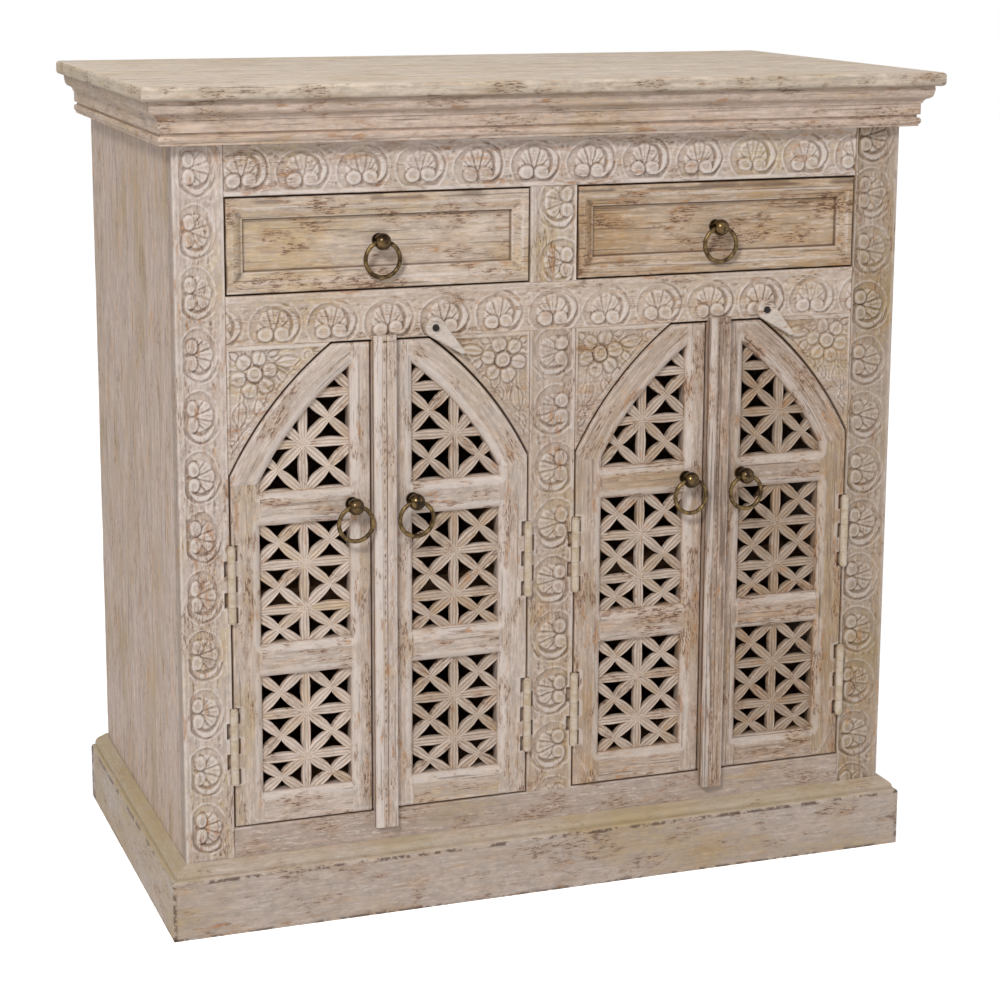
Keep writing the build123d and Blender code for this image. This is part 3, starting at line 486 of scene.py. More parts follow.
def eased(low, high, step):
    """Lines about a step apart that crowd together at both ends."""
    inner = even(low + ROUNDING[-1], high - ROUNDING[-1], step)[1:-1]
    return np.concatenate([low + ROUNDING, inner, high - ROUNDING[::-1]])


# ---- pieces made of boards and bars ----
# relief of the walls and backs of boards: bare wood, and painted shade in the gaps between boards
BACK_DIRT_AND_SHADE = -3.5
FAR_GRAIN = 6


def placed(name, data):
    """A new object in the scene."""
    made = bpy.data.objects.new(name, data)
    bpy.context.scene.collection.objects.link(made)
    return made


def close_behind(bm, edges, sink):
    """Draws walls out of open edges, moves each new vertex with sink, and fills the back."""
    geom = bmesh.ops.extrude_edge_only(bm, edges=edges)["geom"]
    back = [part for part in geom if isinstance(part, bmesh.types.BMVert)]
    for vert in back:
        sink(vert)
    loop = [part for part in geom if isinstance(part, bmesh.types.BMEdge) and part.is_boundary]
    bmesh.ops.edgeloop_fill(bm, edges=loop)
    return back


class Piece:
    """One object in the making: boards and bars are added, then it is handed over."""

    offsets = np.random.default_rng(11)

    def __init__(self):
        self.bm = bmesh.new()
        self.grain = self.bm.verts.layers.float_vector.new("grain")
        self.relief = self.bm.verts.layers.float.new("relief")

    def sheet(
        self, columns, rows, thickness, depth, world, along_rows=False, place=None,
        grain_way=None, blur=4, rubbed=None, back_dirt=BACK_DIRT_AND_SHADE,
    ):
        """A board: its face is a grid of these lines, lowered by depth, its back is flat.

        world turns (s, t, height over the face) into a point; the grain runs with s, or with t,
        or as grain_way gives it. Where rubbed is above 0, the paint looks whiter, with painted
        highlights; below 0 it looks darker, with grime, wear and painted shade. back_dirt darkens
        the walls and back: bare wood, and painted shade in the gaps between boards.
        """
        bm = self.bm
        s, t = np.meshgrid(columns, rows)
        if place:
            s, t = place(s, t)
        height = np.minimum(depth(s, t), 0.0)
        relief = height - blurred(height, blur) + (rubbed(s, t) if rubbed else 0)
        last_i, last_j = len(columns) - 1, len(rows) - 1
        made = bmesh.ops.create_grid(bm, x_segments=last_i, y_segments=last_j, size=1.0)["verts"]
        offset = self.offsets.uniform(0, FAR_GRAIN, 3)
        way, beside = grain_way(s, t) if grain_way else ((t, s) if along_rows else (s, t))
        for vert in made:
            i = round((vert.co.x + 1) / 2 * last_i)
            j = round((vert.co.y + 1) / 2 * last_j)
            h = height[j, i]
            vert.co = world(s[j, i], t[j, i], h)
            vert[self.relief] = relief[j, i]
            vert[self.grain] = Vector(np.array((way[j, i], beside[j, i], h)) * MM + offset)
        front_plane = Vector(world(0.0, 0.0, 0.0))
        inward = (Vector(world(0.0, 0.0, -1.0)) - front_plane).normalized()

        def to_the_back(vert):
            sunk = (vert.co - front_plane).dot(inward)
            vert.co += inward * (thickness * MM - sunk)
            vert[self.grain] = vert[self.grain] + Vector((0, 0, sunk - thickness * MM))
            # walls and back darkened: bare wood, and painted shade in the gaps
            vert[self.relief] = back_dirt

        close_behind(bm, [edge for edge in bm.edges if edge.is_boundary], to_the_back)

    def finish(self, name, body, slot, material, *nodes, sharp=38.0):
        bm = self.bm
        bmesh.ops.recalc_face_normals(bm, faces=bm.faces[:])
        mesh = bpy.data.meshes.new(name)
        bm.to_mesh(mesh)
        bm.free()
        mesh.shade_smooth()
        mesh.set_sharp_from_angle(angle=math.radians(sharp))
        mesh.materials.append(material)
        made = placed(name, mesh)
        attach(made, body)
        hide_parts(*nodes)


def on_front(s, t, height):
    """A point on the front: s runs with X, t with Z."""
    return Vector((s * MM, (FRONT - height) * MM, t * MM))


def on_pair(side, centre):
    """Like on_front, with s the distance from the centre of a pair of doors, towards one side."""
    def world(s, t, height):
        return on_front(centre + side * s, t, height)
    return world


def one_board(
    name, body, wash, node, columns, rows, thickness, depth, world=on_front, sharp=38.0, **settings
):
    """A piece that is a single board of the front."""
    piece = Piece()
    piece.sheet(columns, rows, thickness, depth, world, **settings)
    piece.finish(name, body, "whitewashed_wood", WASH[wash], node, sharp=sharp)


# ---- the carved medallions ----
LEFT_RING = (0.0, 21.0, 27.2)
RIGHT_RING = (-2.5, 24.0, 32.0)
CRESCENT = (3.0, 24.0, 20.7)
CRESCENT_HALF, CRESCENT_REACH = 3.5, 19.5
DISH = -0.5
ROUND_RADIUS = 8.2
ROUND_ACROSS = 13.6
FAN_ACROSS = 23.5
FAN_WIDE, FAN_TALL = 17.8, 19.6
FAN_FOOT = 11.0
PETALS = 7
PETAL_ANGLE = math.radians(27)
PETAL_TIP = 2.6
MEDALLION_ACROSS = 42.7
MEDALLION_MIDDLE = 22.0
HALF_PITCH = 33.5
LARGEST_LEAN = math.radians(3)
CHIPS = (
    # along, across, half sizes, depth
    (31.5, 42.0, 4.0, 2.0, 0.9), (33.0, 8.5, 3.6, 2.2, 0.7), (-27.0, 9.0, 2.2, 2.0, 0.7),
    (31.0, 33.0, 1.6, 3.0, 0.5), (-26.5, 41.0, 2.4, 2.0, 0.7), (0.0, 6.8, 1.7, 2.4, 1.1),
)


def out_of(circle, a, b):
    """Distance out of a circle, given by its centre and radius."""
    return np.hypot(a - circle[0], b - circle[1]) - circle[2]


def medallion(a, b, uneven):
    """Carving round one medallion: a runs along the board, b from the side of the rounds."""
    left_ring, right_ring = out_of(LEFT_RING, a, b), out_of(RIGHT_RING, a, b)
    crescent = out_of(CRESCENT, a, b)
    depth = np.full(a.shape, DISH)

    # a dish between two fine raised rings, with a crescent along one side of it
    depth = domed(depth, -np.maximum(left_ring, right_ring), DISH, -1.4, 5.0)
    depth = grooved(depth, left_ring, -0.5 * rise(-a - 12, 10) * uneven, 1.2)
    depth = grooved(depth, right_ring, -0.6 * rise(a - 18, 10) * uneven, 1.1)
    along_crescent = np.clip(1 - ((b - CRESCENT[1]) / CRESCENT_REACH) ** 2, 0, 1)
    half = CRESCENT_HALF * np.sqrt(along_crescent) * rise(a - CRESCENT[0], 10)
    depth = grooved(depth, crescent - 4.8, 0.8 * rise(a - 6, 10) * uneven, 1.4)
    depth = grooved(depth, crescent + 4.6, 0.4 * rise(a - 6, 10) * uneven, 1.2)
    depth = domed(depth, half - np.abs(crescent), -1.3, 0.3, 2.6)

    # the fan of petals
    outline = (1 - np.hypot(a / FAN_WIDE, (b - FAN_ACROSS) / FAN_TALL)) * FAN_WIDE
    reach = np.hypot(a, b - FAN_FOOT)
    turn = np.arctan2(a, b - FAN_FOOT) / PETAL_ANGLE
    beside = 2 * np.abs(turn - np.round(turn))
    across_petal = beside * reach * PETAL_ANGLE / 2
    tips = outline - PETAL_TIP * (1 - np.sqrt(np.clip(1 - beside**2, 0, 1)))
    sides = reach * PETAL_ANGLE / 2 - across_petal
    inside = least(tips, sides, (PETALS / 2 - np.abs(turn)) * 4)
    depth = domed(depth, inside, -1.35, -0.3, 2.4)
    depth = grooved(depth, across_petal, 0.4 * rise(inside - 1, 1) * uneven, 0.8)

    # the two rounds, deepest where they meet the fan
    inward = rise(b - ROUND_ACROSS + 2, 12)
    for side in (-1, 1):
        inside = ROUND_RADIUS - np.hypot(a - side * (ROUND_RADIUS + 0.3), b - ROUND_ACROSS)
        depth = grooved(depth, inside + 0.5, (0.1 + 0.6 * inward) * uneven, 0.95)
        depth = domed(depth, inside, -0.3 - 0.9 * inward, -0.1, 2.6)

    # chips in the corners between two medallions
    for chip_a, chip_b, half_a, half_b, cut in CHIPS:
        chip = -(((a - chip_a) / half_a) ** 2) - ((b - chip_b) / half_b) ** 2
        depth = depth - cut * np.exp(chip)
    return depth


def carved_band(along, across, width, centres, margins, seed):
    """Depth of a board with a row of medallions; across is 0 at the edge beside the rounds."""
    wobble_a = waves(along, across, seed, (0.8, 13), (0.4, 5))
    wobble_b = waves(along, across, seed + 2, (0.8, 14), (0.4, 5))
    centres = np.array(sorted(centres))
    number = np.clip(np.searchsorted(centres + HALF_PITCH, along), 0, len(centres) - 1)
    chance = np.random.default_rng(seed + 4)
    size, shift, turn = chance.uniform(-1.2, 1.2, (3, len(centres)))
    near, far = margins
    a = (along - centres[number] + wobble_a) * (1 + 0.02 * size[number])
    scale = MEDALLION_ACROSS / (width - near - far)
    b = ROUND_ACROSS - ROUND_RADIUS + (across - near) * scale + wobble_b + shift[number] * 0.8
    lean = LARGEST_LEAN * turn[number]
    a, b = a + (b - MEDALLION_MIDDLE) * lean, b - a * lean
    uneven = 0.85 + 0.6 * ripple(along, across, 7, seed + 9)
    fresh = 1.7 + 0.5 * ripple(along, across, 38, seed + 8)
    depth = medallion(a, b, uneven) * fresh
    depth = depth + 0.34 * ripple(along, across, 3.1, seed + 5)
    depth = depth + 0.3 * ripple(along, across, 8, seed + 6) - 0.2
    plain = -0.2 - 0.14 * ripple(along, across, 9, seed + 7)
    plain = plain - 0.1 * ripple(along, across, 3, seed + 10)
    inside = rise(across - near + 3.0, 3.0) * rise(width - far + 3.0 - across, 3.0)
    return plain + (depth - plain) * inside


def hinge_room(distance, t):
    """Room for the hinge barrels, at a distance outwards from their line, and notches beside."""
    near = np.clip(HINGE_ROOM**2 - distance**2, 0, None)
    in_room = np.abs(distance) < HINGE_ROOM
    room = np.where(in_room, np.minimum(HINGE_PROUD - np.sqrt(near), 0), 0.0)
    knuckle = 2 * HINGE_HALF / KNUCKLES
    cut = np.zeros(t.shape)
    for height in HINGE_HEIGHTS:
        beside = np.abs(t - height) < HINGE_HALF
        number = np.floor((t - height + HINGE_HALF) / knuckle)
        door_side = number % 2 == 0
        notch = beside & (np.abs(distance) < NOTCH) & (door_side == (distance < 0))
        cut = np.where(beside, np.minimum(cut, room), cut)
        cut = np.where(notch, -NOTCH_DEPTH, cut)
    return cut


FINE = 0.85
CARVED_LOW, CARVED_HIGH = 80.0, 838.0
OUT_OF_SIGHT = 9


def row_of(known, before, pitch, end):
    """Centres of medallions a pitch apart, so many of them before a known one."""
    return np.arange(known - before * pitch, end, pitch)


def carved_stile(name, node, centres, rounds_right, margins, seed, wash):
    """An upright board with medallions from the plinth to the cornice."""
    low, high = node_box(node)
    left, right = low[0], high[0]
    rows = even(max(low[2], CARVED_LOW), min(high[2], CARVED_HIGH), FINE)
    if low[2] < CARVED_LOW:
        rows = np.concatenate([[low[2]], rows])
    if high[2] > CARVED_HIGH:
        rows = np.concatenate([rows, [high[2]]])

    def depth(s, t):
        across = right - s if rounds_right else s - left
        carved = carved_band(-t, across, right - left, -centres, margins, seed)
        carved = carved + soft_edges(
            s, t, (left, low[2] - OUT_OF_SIGHT), (right, high[2] + OUT_OF_SIGHT)
        )
        for _, side, centre in DOORS:
            carved = np.minimum(carved, hinge_room((s - centre) * side - HINGE_LINE, t))
        return carved

    one_board(
        name, "cabinet", wash, node, even(left, right, FINE), rows, high[1] - FRONT, depth,
        along_rows=True,
    )


def carved_rail(name, node, centres, low_shown, high_shown, margins, seed, wash):
    """A board across the front with medallions."""
    low, high = node_box(node)
    rows = even(low_shown, high_shown, FINE)
    if high[2] > high_shown:
        rows = np.concatenate([rows, [high[2]]])

    def depth(s, t):
        width = high_shown - low_shown
        carved = carved_band(s, t - low_shown, width, centres, margins, seed)
        return carved + soft_edges(s, t, low[::2], high[::2], 0.9)

    columns = even(low[0], high[0], FINE)
    one_board(name, "cabinet", wash, node, columns, rows, high[1] - FRONT, depth)


# the right stile's darker wash is partly painted shade
STILES = (
    # piece, node, centres of the medallions, rounds on the right, margins, seed, wash
    ("carved_stile_left", "stile_left", row_of(814.2, 12, 63.6, 830), False, (11.0, 10.0), 20,
     "pale"),
    ("carved_stile_right", "stile_right", row_of(386.0, 5, 63.0, 830), False, (5.6, 8.0), 40,
     "right"),
    ("carved_centre_lower", "centre_stile_lower", row_of(416.0, 5, 63.4, 640), True, (8.0, 5.5),
     60, "middle"),
    ("carved_centre_upper", "centre_stile_upper", np.array((766.0, 702.0)), True, (4.8, 10.0), 80,
     "pale"),
)
RAILS = (
    # piece, node, centres of the medallions, lowest and highest line shown, margins, seed, wash
    ("carved_top_rail", "top_rail", row_of(-212.3, 3, 63.4, 370), 784.0, 838.0, (8.0, 7.0), 100,
     "pale"),
    ("carved_mid_rail", "mid_rail", row_of(-307.6, 1, 61.5, 370), 630.0, 682.0, (3.5, 10.0), 120,
     "rail"),
)
for row in STILES:
    carved_stile(*row)
for row in RAILS:
    carved_rail(*row)


# ---- spandrels ----
def arch_height(u, inset):
    """Height of the bowed line over a pair of doors, u from the pair's centre."""
    return ARCH_CENTRE[1] + np.sqrt((ARCH_RADIUS - inset) ** 2 - (u - ARCH_CENTRE[0]) ** 2)


def out_of_arch(u, z):
    """Distance from the centre of the bowed line."""
    return np.hypot(u - ARCH_CENTRE[0], z - ARCH_CENTRE[1])


SPANDREL_THICKNESS = 22.0
SPANDREL_COLUMNS, SPANDREL_ROWS = 118, 142
FLOWER = (136.5, 600.0)
FLOWER_PETALS = 6
PETAL_OUT, PETAL_LONG, PETAL_WIDE = 17.5, 9.2, 8.8
HEART, HEART_GROOVE, HEART_RING = 8.8, 9.4, 4.2
SCROLL = (80.0, 617.0)
SCROLL_RADIUS, SCROLL_GROOVE = 8.6, 4.2
LEAVES = (
    # u, z, half length, half width, angle, bowl
    (152.0, 558.0, 14.0, 7.0, -78.0, 1.5),
    (131.0, 563.0, 11.0, 5.5, -100.0, 0.9),
    (101.0, 612.0, 14.0, 6.5, -8.0, 0.0),
    (107.0, 596.0, 9.0, 4.5, 52.0, 0.6),
    (158.0, 531.0, 11.0, 4.2, -82.0, 0.0),
    (118.0, 577.0, 8.0, 3.6, -50.0, 0.5),
    (158.0, 620.0, 7.0, 4.0, 40.0, 0.0),
    (116.0, 621.0, 7.0, 3.4, -20.0, 0.0),
)


def leaf(u, z, middle_u, middle_z, half_long, half_wide, angle):
    """How far inside a pointed leaf a point lies, and how far beside its vein."""
    lean = math.radians(angle)
    along = (u - middle_u) * math.cos(lean) + (z - middle_z) * math.sin(lean)
    across = (z - middle_z) * math.cos(lean) - (u - middle_u) * math.sin(lean)
    share = np.clip(np.abs(along) / half_long, 0, 1)
    return half_wide * (1 - share**2) - np.abs(across), across


def spandrel_carving(u, z, seed):
    """A flower with leaves round it and a scroll towards the narrow corner."""
    warp_u = u + 1.0 * ripple(u, z, 14, seed) + 0.4 * ripple(u, z, 5, seed + 1)
    warp_z = z + 1.0 * ripple(u, z, 14, seed + 2) + 0.4 * ripple(u, z, 5, seed + 3)
    depth = -1.2 + 0.3 * ripple(u, z, 8, seed + 4) + 0.25 * ripple(u, z, 3.6, seed + 8)
    for *shape, bowl in LEAVES:
        inside, across = leaf(warp_u, warp_z, *shape)
        depth = grooved(depth, inside + 2.4, -0.6, 1.1)
        depth = domed(depth, inside, -1.5, 0.0, 3.0)
        depth = grooved(depth, across, 0.5 * rise(inside - 1, 1), 0.9 + bowl)
    scroll = np.hypot(warp_u - SCROLL[0], warp_z - SCROLL[1])
    depth = domed(depth, SCROLL_RADIUS - scroll, -1.4, -0.1, 2.8)
    depth = grooved(depth, scroll - SCROLL_GROOVE, 0.9 * rise(warp_u - SCROLL[0] + 3, 3), 1.1)

    # the flower: its petals, then its heart
    flower_u, flower_z = warp_u - FLOWER[0], warp_z - FLOWER[1]
    radius = np.hypot(flower_u, flower_z)
    turn = np.arctan2(flower_z, flower_u) / (2 * math.pi) * FLOWER_PETALS + 0.2
    offset = (turn - np.round(turn)) * 2 * math.pi / FLOWER_PETALS
    along, beside = radius * np.cos(offset) - PETAL_OUT, radius * np.sin(offset)
    inside = (1 - np.hypot(along / PETAL_LONG, beside / PETAL_WIDE)) * PETAL_WIDE
    depth = domed(depth, inside, -1.6, 0.0, 3.4)
    depth = grooved(depth, beside, 0.5 * rise(inside - 1, 1), 1.0)
    depth = grooved(depth, radius - HEART_GROOVE, 0.8 + 0.4 * ripple(u, z, 7, seed + 7), 1.1)
    depth = domed(depth, HEART - radius, -1.4, 0.1, 3.0)
    depth = grooved(depth, radius - HEART_RING, 0.5, 1.0)
    depth = depth * (1.7 + 0.5 * ripple(u, z, 30, seed + 6))

    # a plain margin with a soft arris
    to_arch = out_of_arch(u, z) - ARCH_RADIUS
    gap = least(to_arch - 4.0, OPENING_TOP - 5.0 - z, OPENING_HALF - 3.0 - u)
    plain = -0.15 - 0.12 * ripple(u, z, 9, seed + 5)
    depth = plain + (depth - plain) * rise(gap, 2.4)
    gap = least(to_arch, OPENING_TOP - z, OPENING_HALF - u)
    return depth + np.sqrt(1 - (1 - np.clip(gap, 0, 1)) ** 2) - 1


def spread_over_spandrel(s, t):
    """s and t from 0 to 1 become a place between the bowed line and the stile."""
    z = ARCH_SPRING + 1.5 + t * (OPENING_TOP - ARCH_SPRING - 1.5)
    near = ARCH_CENTRE[0] + np.sqrt(ARCH_RADIUS**2 - (z - ARCH_CENTRE[1]) ** 2)
    return near + s * (OPENING_HALF - near), z


for number, (door, side, centre) in enumerate(DOORS):
    one_board(
        f"carved_spandrel_{door}", "cabinet", "middle" if number else "pale", f"spandrel_{door}",
        even(0, 1, 1 / SPANDREL_COLUMNS), even(0, 1, 1 / SPANDREL_ROWS),
        SPANDREL_THICKNESS, lambda u, z, seed=200 + 10 * number: spandrel_carving(u, z, seed),
        on_pair(side, centre), place=spread_over_spandrel,
    )


# ---- doors ----
DOOR_STEP, HEAD_STEP = 2.6, 2.2
HEAD_HIGH = 36
ARRIS = 1.2
QUIRK, QUIRK_HALF, QUIRK_DEPTH = 10.4, 0.9, 0.35


def gap_to_openings(u, z):
    """Distance on the door from a place to the nearest lattice opening."""
    beside = np.maximum(np.maximum(PANEL_NEAR - u, u - PANEL_FAR), 0)
    over_arch = out_of_arch(u, z) - (ARCH_RADIUS - DOOR_HEAD_GAP - HEAD_RAIL)
    gap = np.hypot(beside, np.maximum(np.maximum(HEAD_PANEL_LOW - z, over_arch), 0))
    for low, high in PANELS:
        gap = np.minimum(gap, np.hypot(beside, np.maximum(np.maximum(low - z, z - high), 0)))
    return gap


def door_face(free_edge, seed):
    """Depth of a door's frame: rounded round its openings, hollowed a little by age."""
    def depth(u, z):
        away = gap_to_openings(u, z)
        near = 1 - np.clip(away / PANEL_ROUND, 0, 1)
        rounding = (np.sqrt(1 - near**2) - 1) * PANEL_ROUND_DEPTH
        quirk = -QUIRK_DEPTH * bell(away - QUIRK, QUIRK_HALF)
        over_arch = ARCH_RADIUS - DOOR_HEAD_GAP - out_of_arch(u, z)
        edge = least(u - free_edge, DOOR_EDGE - u, z - DOOR_LOW, over_arch, DOOR_HIGH - z)
        edge = np.clip(edge, 0, ARRIS)
        wear = waves(u, z, seed, (0.22, 23), (0.14, 7)) - 0.25
        face = rounding + quirk + wear + np.sqrt(ARRIS**2 - (ARRIS - edge) ** 2) - ARRIS
        return np.minimum(face, hinge_room(u - HINGE_LINE, z))
    return depth


def opening_edge_highlight(u, z):
    """Painted highlight: whiter paint on the rounded edges of a door's openings."""
    return 0.6 * bell(gap_to_openings(u, z) - 3.4, 3.6)


def spread_over_head(s, t):
    """s is the distance from the pair's centre; t from 0 to 1 goes up through the door's head."""
    low = np.where(s > PANEL_FAR, HEAD_JOINT, arch_height(s, DOOR_HEAD_GAP + HEAD_RAIL))
    high = np.minimum(DOOR_HIGH, arch_height(s, DOOR_HEAD_GAP))
    return s, low + t * (high - low)


def round_the_arch(u, z):
    """How far round the bowed line and how far out a place lies."""
    return np.arctan2(z - ARCH_CENTRE[1], u - ARCH_CENTRE[0]) * ARCH_RADIUS, out_of_arch(u, z)


def door_boards(piece, side, centre, seed):
    """The two stiles, the three rails and the bowed head of a door."""
    free = FREE_EDGE[side]
    face = door_face(free, seed)
    world = on_pair(side, centre)
    # the rounded edges of the openings get a painted highlight
    common = {"blur": 2, "rubbed": opening_edge_highlight}
    rows = even(DOOR_LOW, DOOR_HIGH, DOOR_STEP)
    piece.sheet(eased(free, PANEL_NEAR, 3), rows, DOOR_THICKNESS, face, world, True, **common)
    knuckle_ends = np.linspace(-HINGE_HALF, HINGE_HALF, KNUCKLES + 1)
    rows = np.unique(np.concatenate([even(DOOR_LOW, HEAD_JOINT, DOOR_STEP)] + [
        height + knuckle_ends + nudge for height in HINGE_HEIGHTS for nudge in (-0.15, 0.15)
    ]))
    piece.sheet(eased(PANEL_FAR, DOOR_EDGE, 3), rows, DOOR_THICKNESS, face, world, True, **common)
    ends = (DOOR_LOW, *PANELS[0], *PANELS[1], HEAD_PANEL_LOW)
    for low, high in zip(ends[::2], ends[1::2]):
        columns = even(PANEL_NEAR, PANEL_FAR, DOOR_STEP)
        piece.sheet(columns, eased(low, high, 3), DOOR_THICKNESS, face, world, **common)
    rows = np.concatenate([ROUNDING / HEAD_HIGH, even(0.36, 1.0, 0.06)])
    columns = np.concatenate([
        even(PANEL_NEAR, PANEL_FAR, HEAD_STEP), even(PANEL_FAR + 0.01, DOOR_EDGE, HEAD_STEP)
    ])
    piece.sheet(
        columns, rows, DOOR_THICKNESS, face, world, place=spread_over_head,
        grain_way=round_the_arch, **common,
    )


LEAF_SECTION = (
    # how far out on the half width, how far below the front of the lattice
    (-1, -1.4), (-0.78, 0), (-0.42, -0.9), (0, -0.35), (0.42, -0.9), (0.78, 0), (1, -1.4),
)
# relief of each line of a bar: the raised lines get painted highlights, the veins grime and painted
# shade
LEAF_RELIEF = {0: 0.45, -0.35: 0.0, -0.9: -0.75, -1.4: -0.3}
LEAF_STATIONS = 7
LEAF_SINK = 0.5
# half widths in the middle and at the tips
STRAIGHT_BAR, SLANTING_BAR = (4.9, 2.4), (5.4, 2.4)
HAND_LEAN, HAND_WIDTH, HAND_HEIGHT = 0.2, 0.16, 0.24
ARCH_CUTS, FIRST_CUT, CUT_TURN = 9, 26, 3.8
CLOSE = 1e-4


def cut_off(bm, verts, point, normal):
    """Cuts a bar off at a plane and closes its end; returns the vertices that are left."""
    edges = dict.fromkeys(edge for vert in verts for edge in vert.link_edges)
    faces = dict.fromkeys(face for vert in verts for face in vert.link_faces)
    kept = bmesh.ops.bisect_plane(
        bm, geom=[*verts, *edges, *faces], dist=CLOSE, plane_co=point, plane_no=normal,
        clear_outer=True,
    )["geom"]
    verts = [part for part in kept if isinstance(part, bmesh.types.BMVert)]
    cut = dict.fromkeys(edge for vert in verts for edge in vert.link_edges if edge.is_boundary)
    if cut:
        bmesh.ops.holes_fill(bm, edges=list(cut), sides=0)
    return verts


def lattice_bar(piece, start, end, half, tip_half, world, planes):
    """A leaf-shaped bar with two veins, cut off at the edges of its board."""
    bm = piece.bm
    start, end = np.array(start), np.array(end)
    length = math.hypot(*(end - start))
    along = (end - start) / length
    across = np.array((-along[1], along[0]))
    last = len(LEAF_SECTION) - 1
    made = bmesh.ops.create_grid(bm, x_segments=LEAF_STATIONS, y_segments=last, size=1.0)["verts"]
    offset = Vector(piece.offsets.uniform(0, FAR_GRAIN, 3))
    hand = piece.offsets.uniform(-1, 1, (3, LEAF_STATIONS + 1, last + 1))
    for vert in made:
        share = (vert.co.x + 1) / 2
        column = round((vert.co.y + 1) / 2 * last)
        station = round(share * LEAF_STATIONS)
        out, drop = LEAF_SECTION[column]
        full = 1 - (2 * share - 1) ** 2
        width = tip_half + (half - tip_half) * full
        lean = HAND_LEAN * hand[0, station, 0] + HAND_WIDTH * hand[1, station, column]
        place = start + along * share * length + across * (out * width + lean * min(full * 2, 1))
        height = -LATTICE_FRONT - LEAF_SINK + drop * (0.45 + 0.55 * full)
        vert.co = Vector((place[0], height + HAND_HEIGHT * hand[2, station, column], place[1]))
        vert[piece.grain] = Vector((share * length * MM, out * width * MM, 0)) + offset
        vert[piece.relief] = LEAF_RELIEF[drop]

    def to_the_back(vert):
        vert.co.y = -LATTICE_FRONT - LATTICE_THICKNESS
        vert[piece.relief] = -0.2

    rim = dict.fromkeys(edge for vert in made for edge in vert.link_edges if edge.is_boundary)
    verts = [*made, *close_behind(bm, list(rim), to_the_back)]
    for point, normal in planes:
        if max(((vert.co - point).dot(normal) for vert in verts), default=0) >= CLOSE:
            verts = cut_off(bm, verts, point, normal)
    for vert in verts:
        vert.co = world(vert.co.x, vert.co.z, vert.co.y)


def cut_planes(low, high):
    """Planes round the board of a lattice, outside its opening; high is None in the head."""
    near, far = PANEL_NEAR - LATTICE_GROOVE, PANEL_FAR + LATTICE_GROOVE
    planes = [
        (Vector((near, 0, low)), Vector((-1, 0, 0))),
        (Vector((far, 0, low)), Vector((1, 0, 0))),
        (Vector((near, 0, low - LATTICE_GROOVE)), Vector((0, 0, -1))),
    ]
    if high:
        planes.append((Vector((near, 0, high + LATTICE_GROOVE)), Vector((0, 0, 1))))
        return planes
    centre = Vector((ARCH_CENTRE[0], 0, ARCH_CENTRE[1]))
    radius = ARCH_RADIUS - DOOR_HEAD_GAP - HEAD_RAIL + LATTICE_GROOVE
    for step in range(ARCH_CUTS):
        turn = math.radians(FIRST_CUT + CUT_TURN * step)
        normal = Vector((math.cos(turn), 0, math.sin(turn)))
        planes.append((centre + normal * radius, normal))
    return planes


def door_lattice(piece, side, centre):
    """The three lattices of a door: crossed bars, two cells wide."""
    world = on_pair(side, centre)
    middle = (PANEL_NEAR + PANEL_FAR) / 2
    columns = (middle - CELL_WIDTH, middle, middle + CELL_WIDTH)
    boards = []
    for low, high in PANELS:
        top = high + LATTICE_GROOVE
        rows = (low - HIDDEN_LOW, top - 2 * CELL_HEIGHT, top - CELL_HEIGHT, top)
        boards.append((rows, cut_planes(low, high)))
    head_low = HEAD_PANEL_LOW - LATTICE_GROOVE
    rows = tuple(head_low + (DOOR_HIGH - head_low) * row / 3 for row in range(4))
    boards.append((rows, cut_planes(HEAD_PANEL_LOW, None)))
    for rows, planes in boards:
        for low, high in zip(rows, rows[1:]):
            lattice_bar(piece, (middle, low), (middle, high), *STRAIGHT_BAR, world, planes)
            for left, right in zip(columns, columns[1:]):
                cell = ((left + right) / 2, (low + high) / 2)
                for corner in ((left, low), (left, high), (right, low), (right, high)):
                    lattice_bar(piece, corner, cell, *SLANTING_BAR, world, planes)
        for row in rows:
            for left, right in zip(columns, columns[1:]):
                lattice_bar(piece, (left, row), (right, row), *STRAIGHT_BAR, world, planes)


# darker washes on the doors further right: partly wear, partly painted shade
BOARD_WASHES = ("door", "door", "middle_door", "worn_shaded_door")
LATTICE_WASHES = ("lattice", "middle_lattice", "middle_lattice", "worn_shaded_lattice")
for number, (door, side, centre) in enumerate(DOORS):
    body, wood, wash = f"door_{door}", "whitewashed_wood", WASH[BOARD_WASHES[number]]
    piece = Piece()
    door_boards(piece, side, centre, 300 + 10 * number)
    piece.finish(f"boards_{door}", body, wood, wash, f"door_frame_{door}")
    wash = WASH[LATTICE_WASHES[number]]
    piece = Piece()
    door_lattice(piece, side, centre)
    piece.finish(f"lattice_{door}", body, wood, wash, f"door_lattice_{door}", sharp=25.0)


# ---- meeting strips ----
NOSE = 3.4
STRIP_FORMS = (
    # from, to, height of the edges, height of the middle
    (0.0, 9.0, -0.9, 0.0),
    (9.1, 13.4, -0.9, -0.6),
    (13.8, 24.4, -0.9, -0.1),
)
STRIP_FLOOR = -1.4
STRIP_CHIPS_ACROSS = 11.2
STRIP_CHIP_PITCH = 8.0
STRIP_NOTCH = 6.0
STRIP_SLOPE, STRIP_WIDTH, STRIP_DROP = 24.8, 27.0, 8.0


